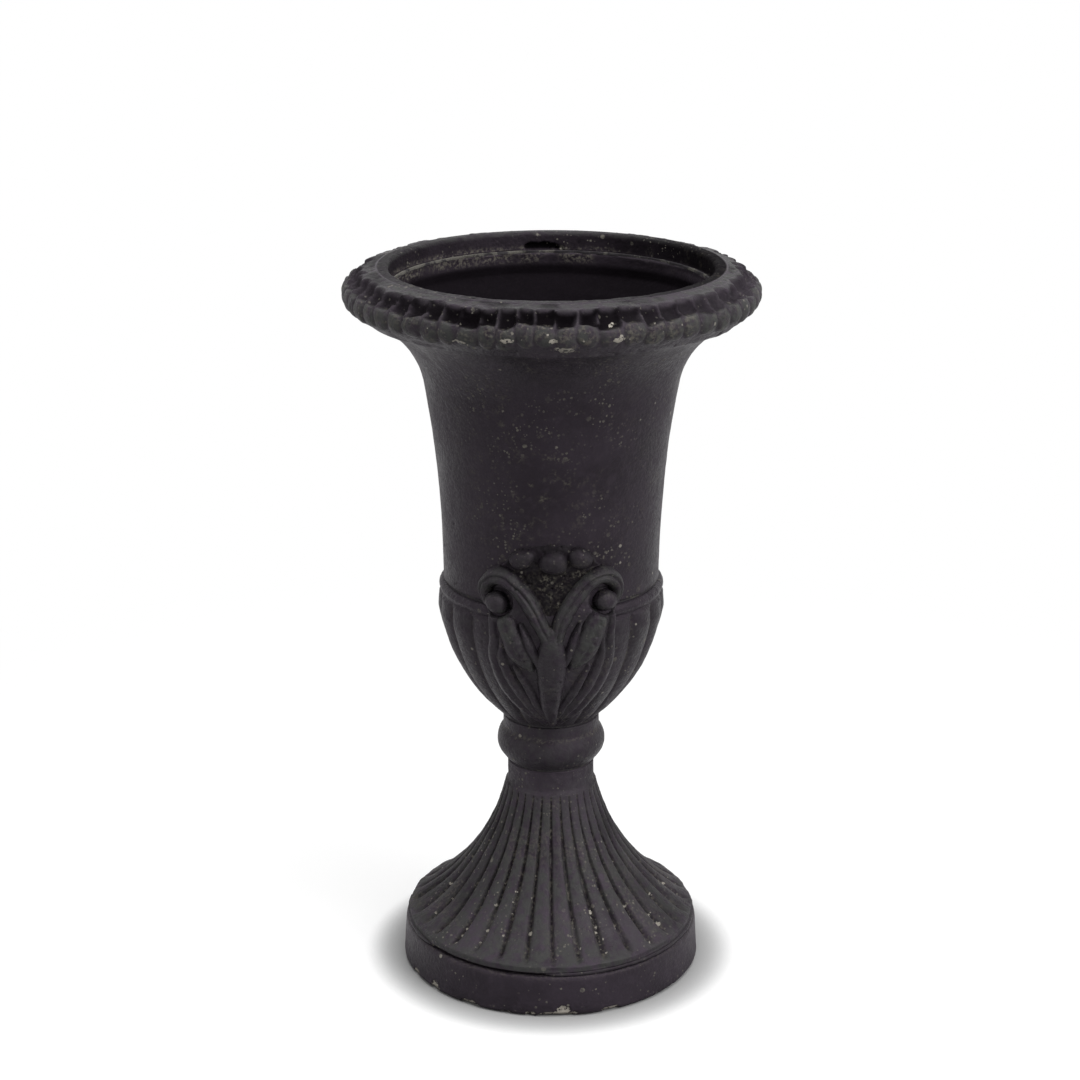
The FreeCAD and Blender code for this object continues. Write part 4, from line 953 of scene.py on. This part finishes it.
def place_pieces():
    """Make the castings and seams over their nodes, and give the other nodes their materials."""
    made = [
        (make_plinth(), "plinth_ring", black_stone("plinth_stone", False, 0.12, 0.0195)),
        # The foot's base tone is paler than the other castings': painted light for the light its upward slope
        # catches.
        (make_foot(), "fluted_foot", black_stone("foot_stone_painted_lighter", False, 0.28, 0.034)),
        (make_collar(), "neck_collar", black_stone("collar_stone", False, 0.18, 0.0215)),
        (make_calyx(), "calyx_bowl", black_stone("bowl_stone", False, 0.14, 0.0175)),
        (make_bell(), "bell_body", black_stone("bell_stone", True, 0.62, 0.0165, 0.46, 0.8)),
        (make_rim(), "rim_ring", black_stone("rim_stone", False, 0.20, 0.0215, 0.42)),
        (make_ornament("leaf_ornament_front", False), "front_ornament",
         black_stone("ornament_stone", False, 0.12, 0.0215, 0.40)),
        (make_ornament("leaf_ornament_back", True), "back_ornament",
         black_stone("back_ornament_stone", False, 0.12, 0.0215, 0.40)),
    ]
    for piece, node, material in made:
        piece.data.materials.append(material)
        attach(piece, "root")
        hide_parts(node)
    seams = [
        (make_rim_seam(), "rim_joint_mortar", mortar("seam_mortar", 0.11)),
        (make_plinth_seam(), "plinth_mortar", black_stone("painted_mortar", False, 0.20, 0.0195)),
    ]
    for seam, node, material in seams:
        seam.data.materials.append(material)
        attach(seam, "root")
        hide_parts(node)
    bed = mortar("bed_mortar", 0.05)
    steel = zinc("zinc_plate")
    seal = rubber("seal_rubber")
    carried = {
        "neck_lower_mortar": bed, "neck_upper_mortar": bed, "shoulder_joint_mortar": bed,
        "ornament_pins": steel, "tie_rod": steel, "lower_nut": steel, "upper_nut": steel,
        "lower_washer": steel, "upper_washer": steel, "sealing_washer": seal,
    }
    for node, material in carried.items():
        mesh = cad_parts[node].data
        if not mesh.materials:
            mesh.materials.append(material)
        for slot in range(len(mesh.materials)):
            mesh.materials[slot] = material


# ---------------------------------------------------------------- studio

def make_floor():
    """A pale floor with the urn's shadow and a painted contact shadow, which turns plain white away from the
    urn.
    """
    mesh = bpy.data.meshes.new("studio_floor")
    corners = [(x * FLOOR_REACH, y * FLOOR_REACH, 0) for x, y in ((-1, -1), (1, -1), (1, 1), (-1, 1))]
    mesh.from_pydata(corners, [], [(0, 1, 2, 3)])
    floor = bpy.data.objects.new("studio_floor", mesh)
    bpy.context.scene.collection.objects.link(floor)
    floor.location.z = -0.0002
    nodes = Surface("studio_white")
    nodes.shade("Roughness", 1.0)
    nodes.shade("Specular IOR Level", 0.0)
    seen = nodes.seen()
    nodes.shade("Base Color", nodes.mix(seen, (FLOOR_BOUNCE,) * 3 + (1,), (FLOOR_SHADE,) * 3 + (1,)))
    # Painted contact shadow: ambient occlusion dims the floor's glow close to the urn.
    crowded = nodes.add("ShaderNodeAmbientOcclusion", samples=12)
    crowded.inputs["Distance"].default_value = 32 * MM
    painted_contact_shade = nodes.math("POWER", crowded.outputs["AO"], 5.5)
    glow = nodes.add("ShaderNodeEmission")
    nodes.join(nodes.times(nodes.times(seen, painted_contact_shade), FLOOR_GLOW), glow.inputs["Strength"])
    near = nodes.add("ShaderNodeAddShader")
    nodes.join(nodes.shader.outputs[0], near.inputs[0])
    nodes.join(glow.outputs[0], near.inputs[1])
    white = nodes.add("ShaderNodeEmission")
    nodes.join(nodes.whiteness(seen), white.inputs["Strength"])
    reach_share = nodes.add("ShaderNodeVectorMath", operation="LENGTH")
    nodes.join(nodes.place, reach_share.inputs[0])
    blend = nodes.add("ShaderNodeMixShader")
    nodes.join(nodes.span(reach_share.outputs["Value"], 260.0, 900.0), blend.inputs[0])
    nodes.join(near.outputs[0], blend.inputs[1])
    nodes.join(white.outputs[0], blend.inputs[2])
    nodes.join(blend.outputs[0], nodes.out.inputs[0])
    mesh.materials.append(nodes.material)


def make_world():
    """White where the camera, a glossy or a transmission ray sees it, and a low plain light otherwise."""
    world = bpy.data.worlds.new("studio")
    bpy.context.scene.world = world
    world.use_nodes = True
    nodes = Nodes(world.node_tree)
    back = nodes.add("ShaderNodeBackground")
    back.inputs["Color"].default_value = (1, 1, 1, 1)
    nodes.join(nodes.whiteness(nodes.seen()), back.inputs["Strength"])
    nodes.join(back.outputs[0], nodes.add("ShaderNodeOutputWorld").inputs[0])


def add_lamp(name, place, size, power):
    """An area lamp at a place in metres, turned towards the urn."""
    data = bpy.data.lights.new(name, "AREA")
    data.shape = "RECTANGLE"
    data.size, data.size_y = size
    data.energy = power
    lamp = bpy.data.objects.new(name, data)
    bpy.context.scene.collection.objects.link(lamp)
    lamp.location = place
    offset = np.array(AIM) - np.array(place)
    flat = math.hypot(offset[0], offset[1])
    lamp.rotation_euler = (math.atan2(flat, -offset[2]), 0, math.atan2(-offset[0], offset[1]))


def make_camera():
    """The camera that took the photo, as far as its outline tells."""
    data = bpy.data.cameras.new("photo_camera")
    data.lens = 80.5
    data.sensor_width = 36.0
    data.clip_end = 60.0
    camera = bpy.data.objects.new("photo_camera", data)
    bpy.context.scene.collection.objects.link(camera)
    camera.location = [value * MM for value in CAMERA_PLACE]
    camera.rotation_euler = (math.radians(90 - CAMERA_DOWN), 0, 0)
    bpy.context.scene.camera = camera


make_camera()
place_pieces()
make_floor()
make_world()
add_lamp("key_right", (1.6, -1.2, 1.6), (1.6, 1.6), 43)
add_lamp("fill_left", (-2.0, -0.8, 1.3), (1.6, 1.8), 11)
add_lamp("top", (0.0, -0.1, 2.4), (2.0, 2.0), 40)

bpy.context.scene.view_settings.view_transform = "Standard"
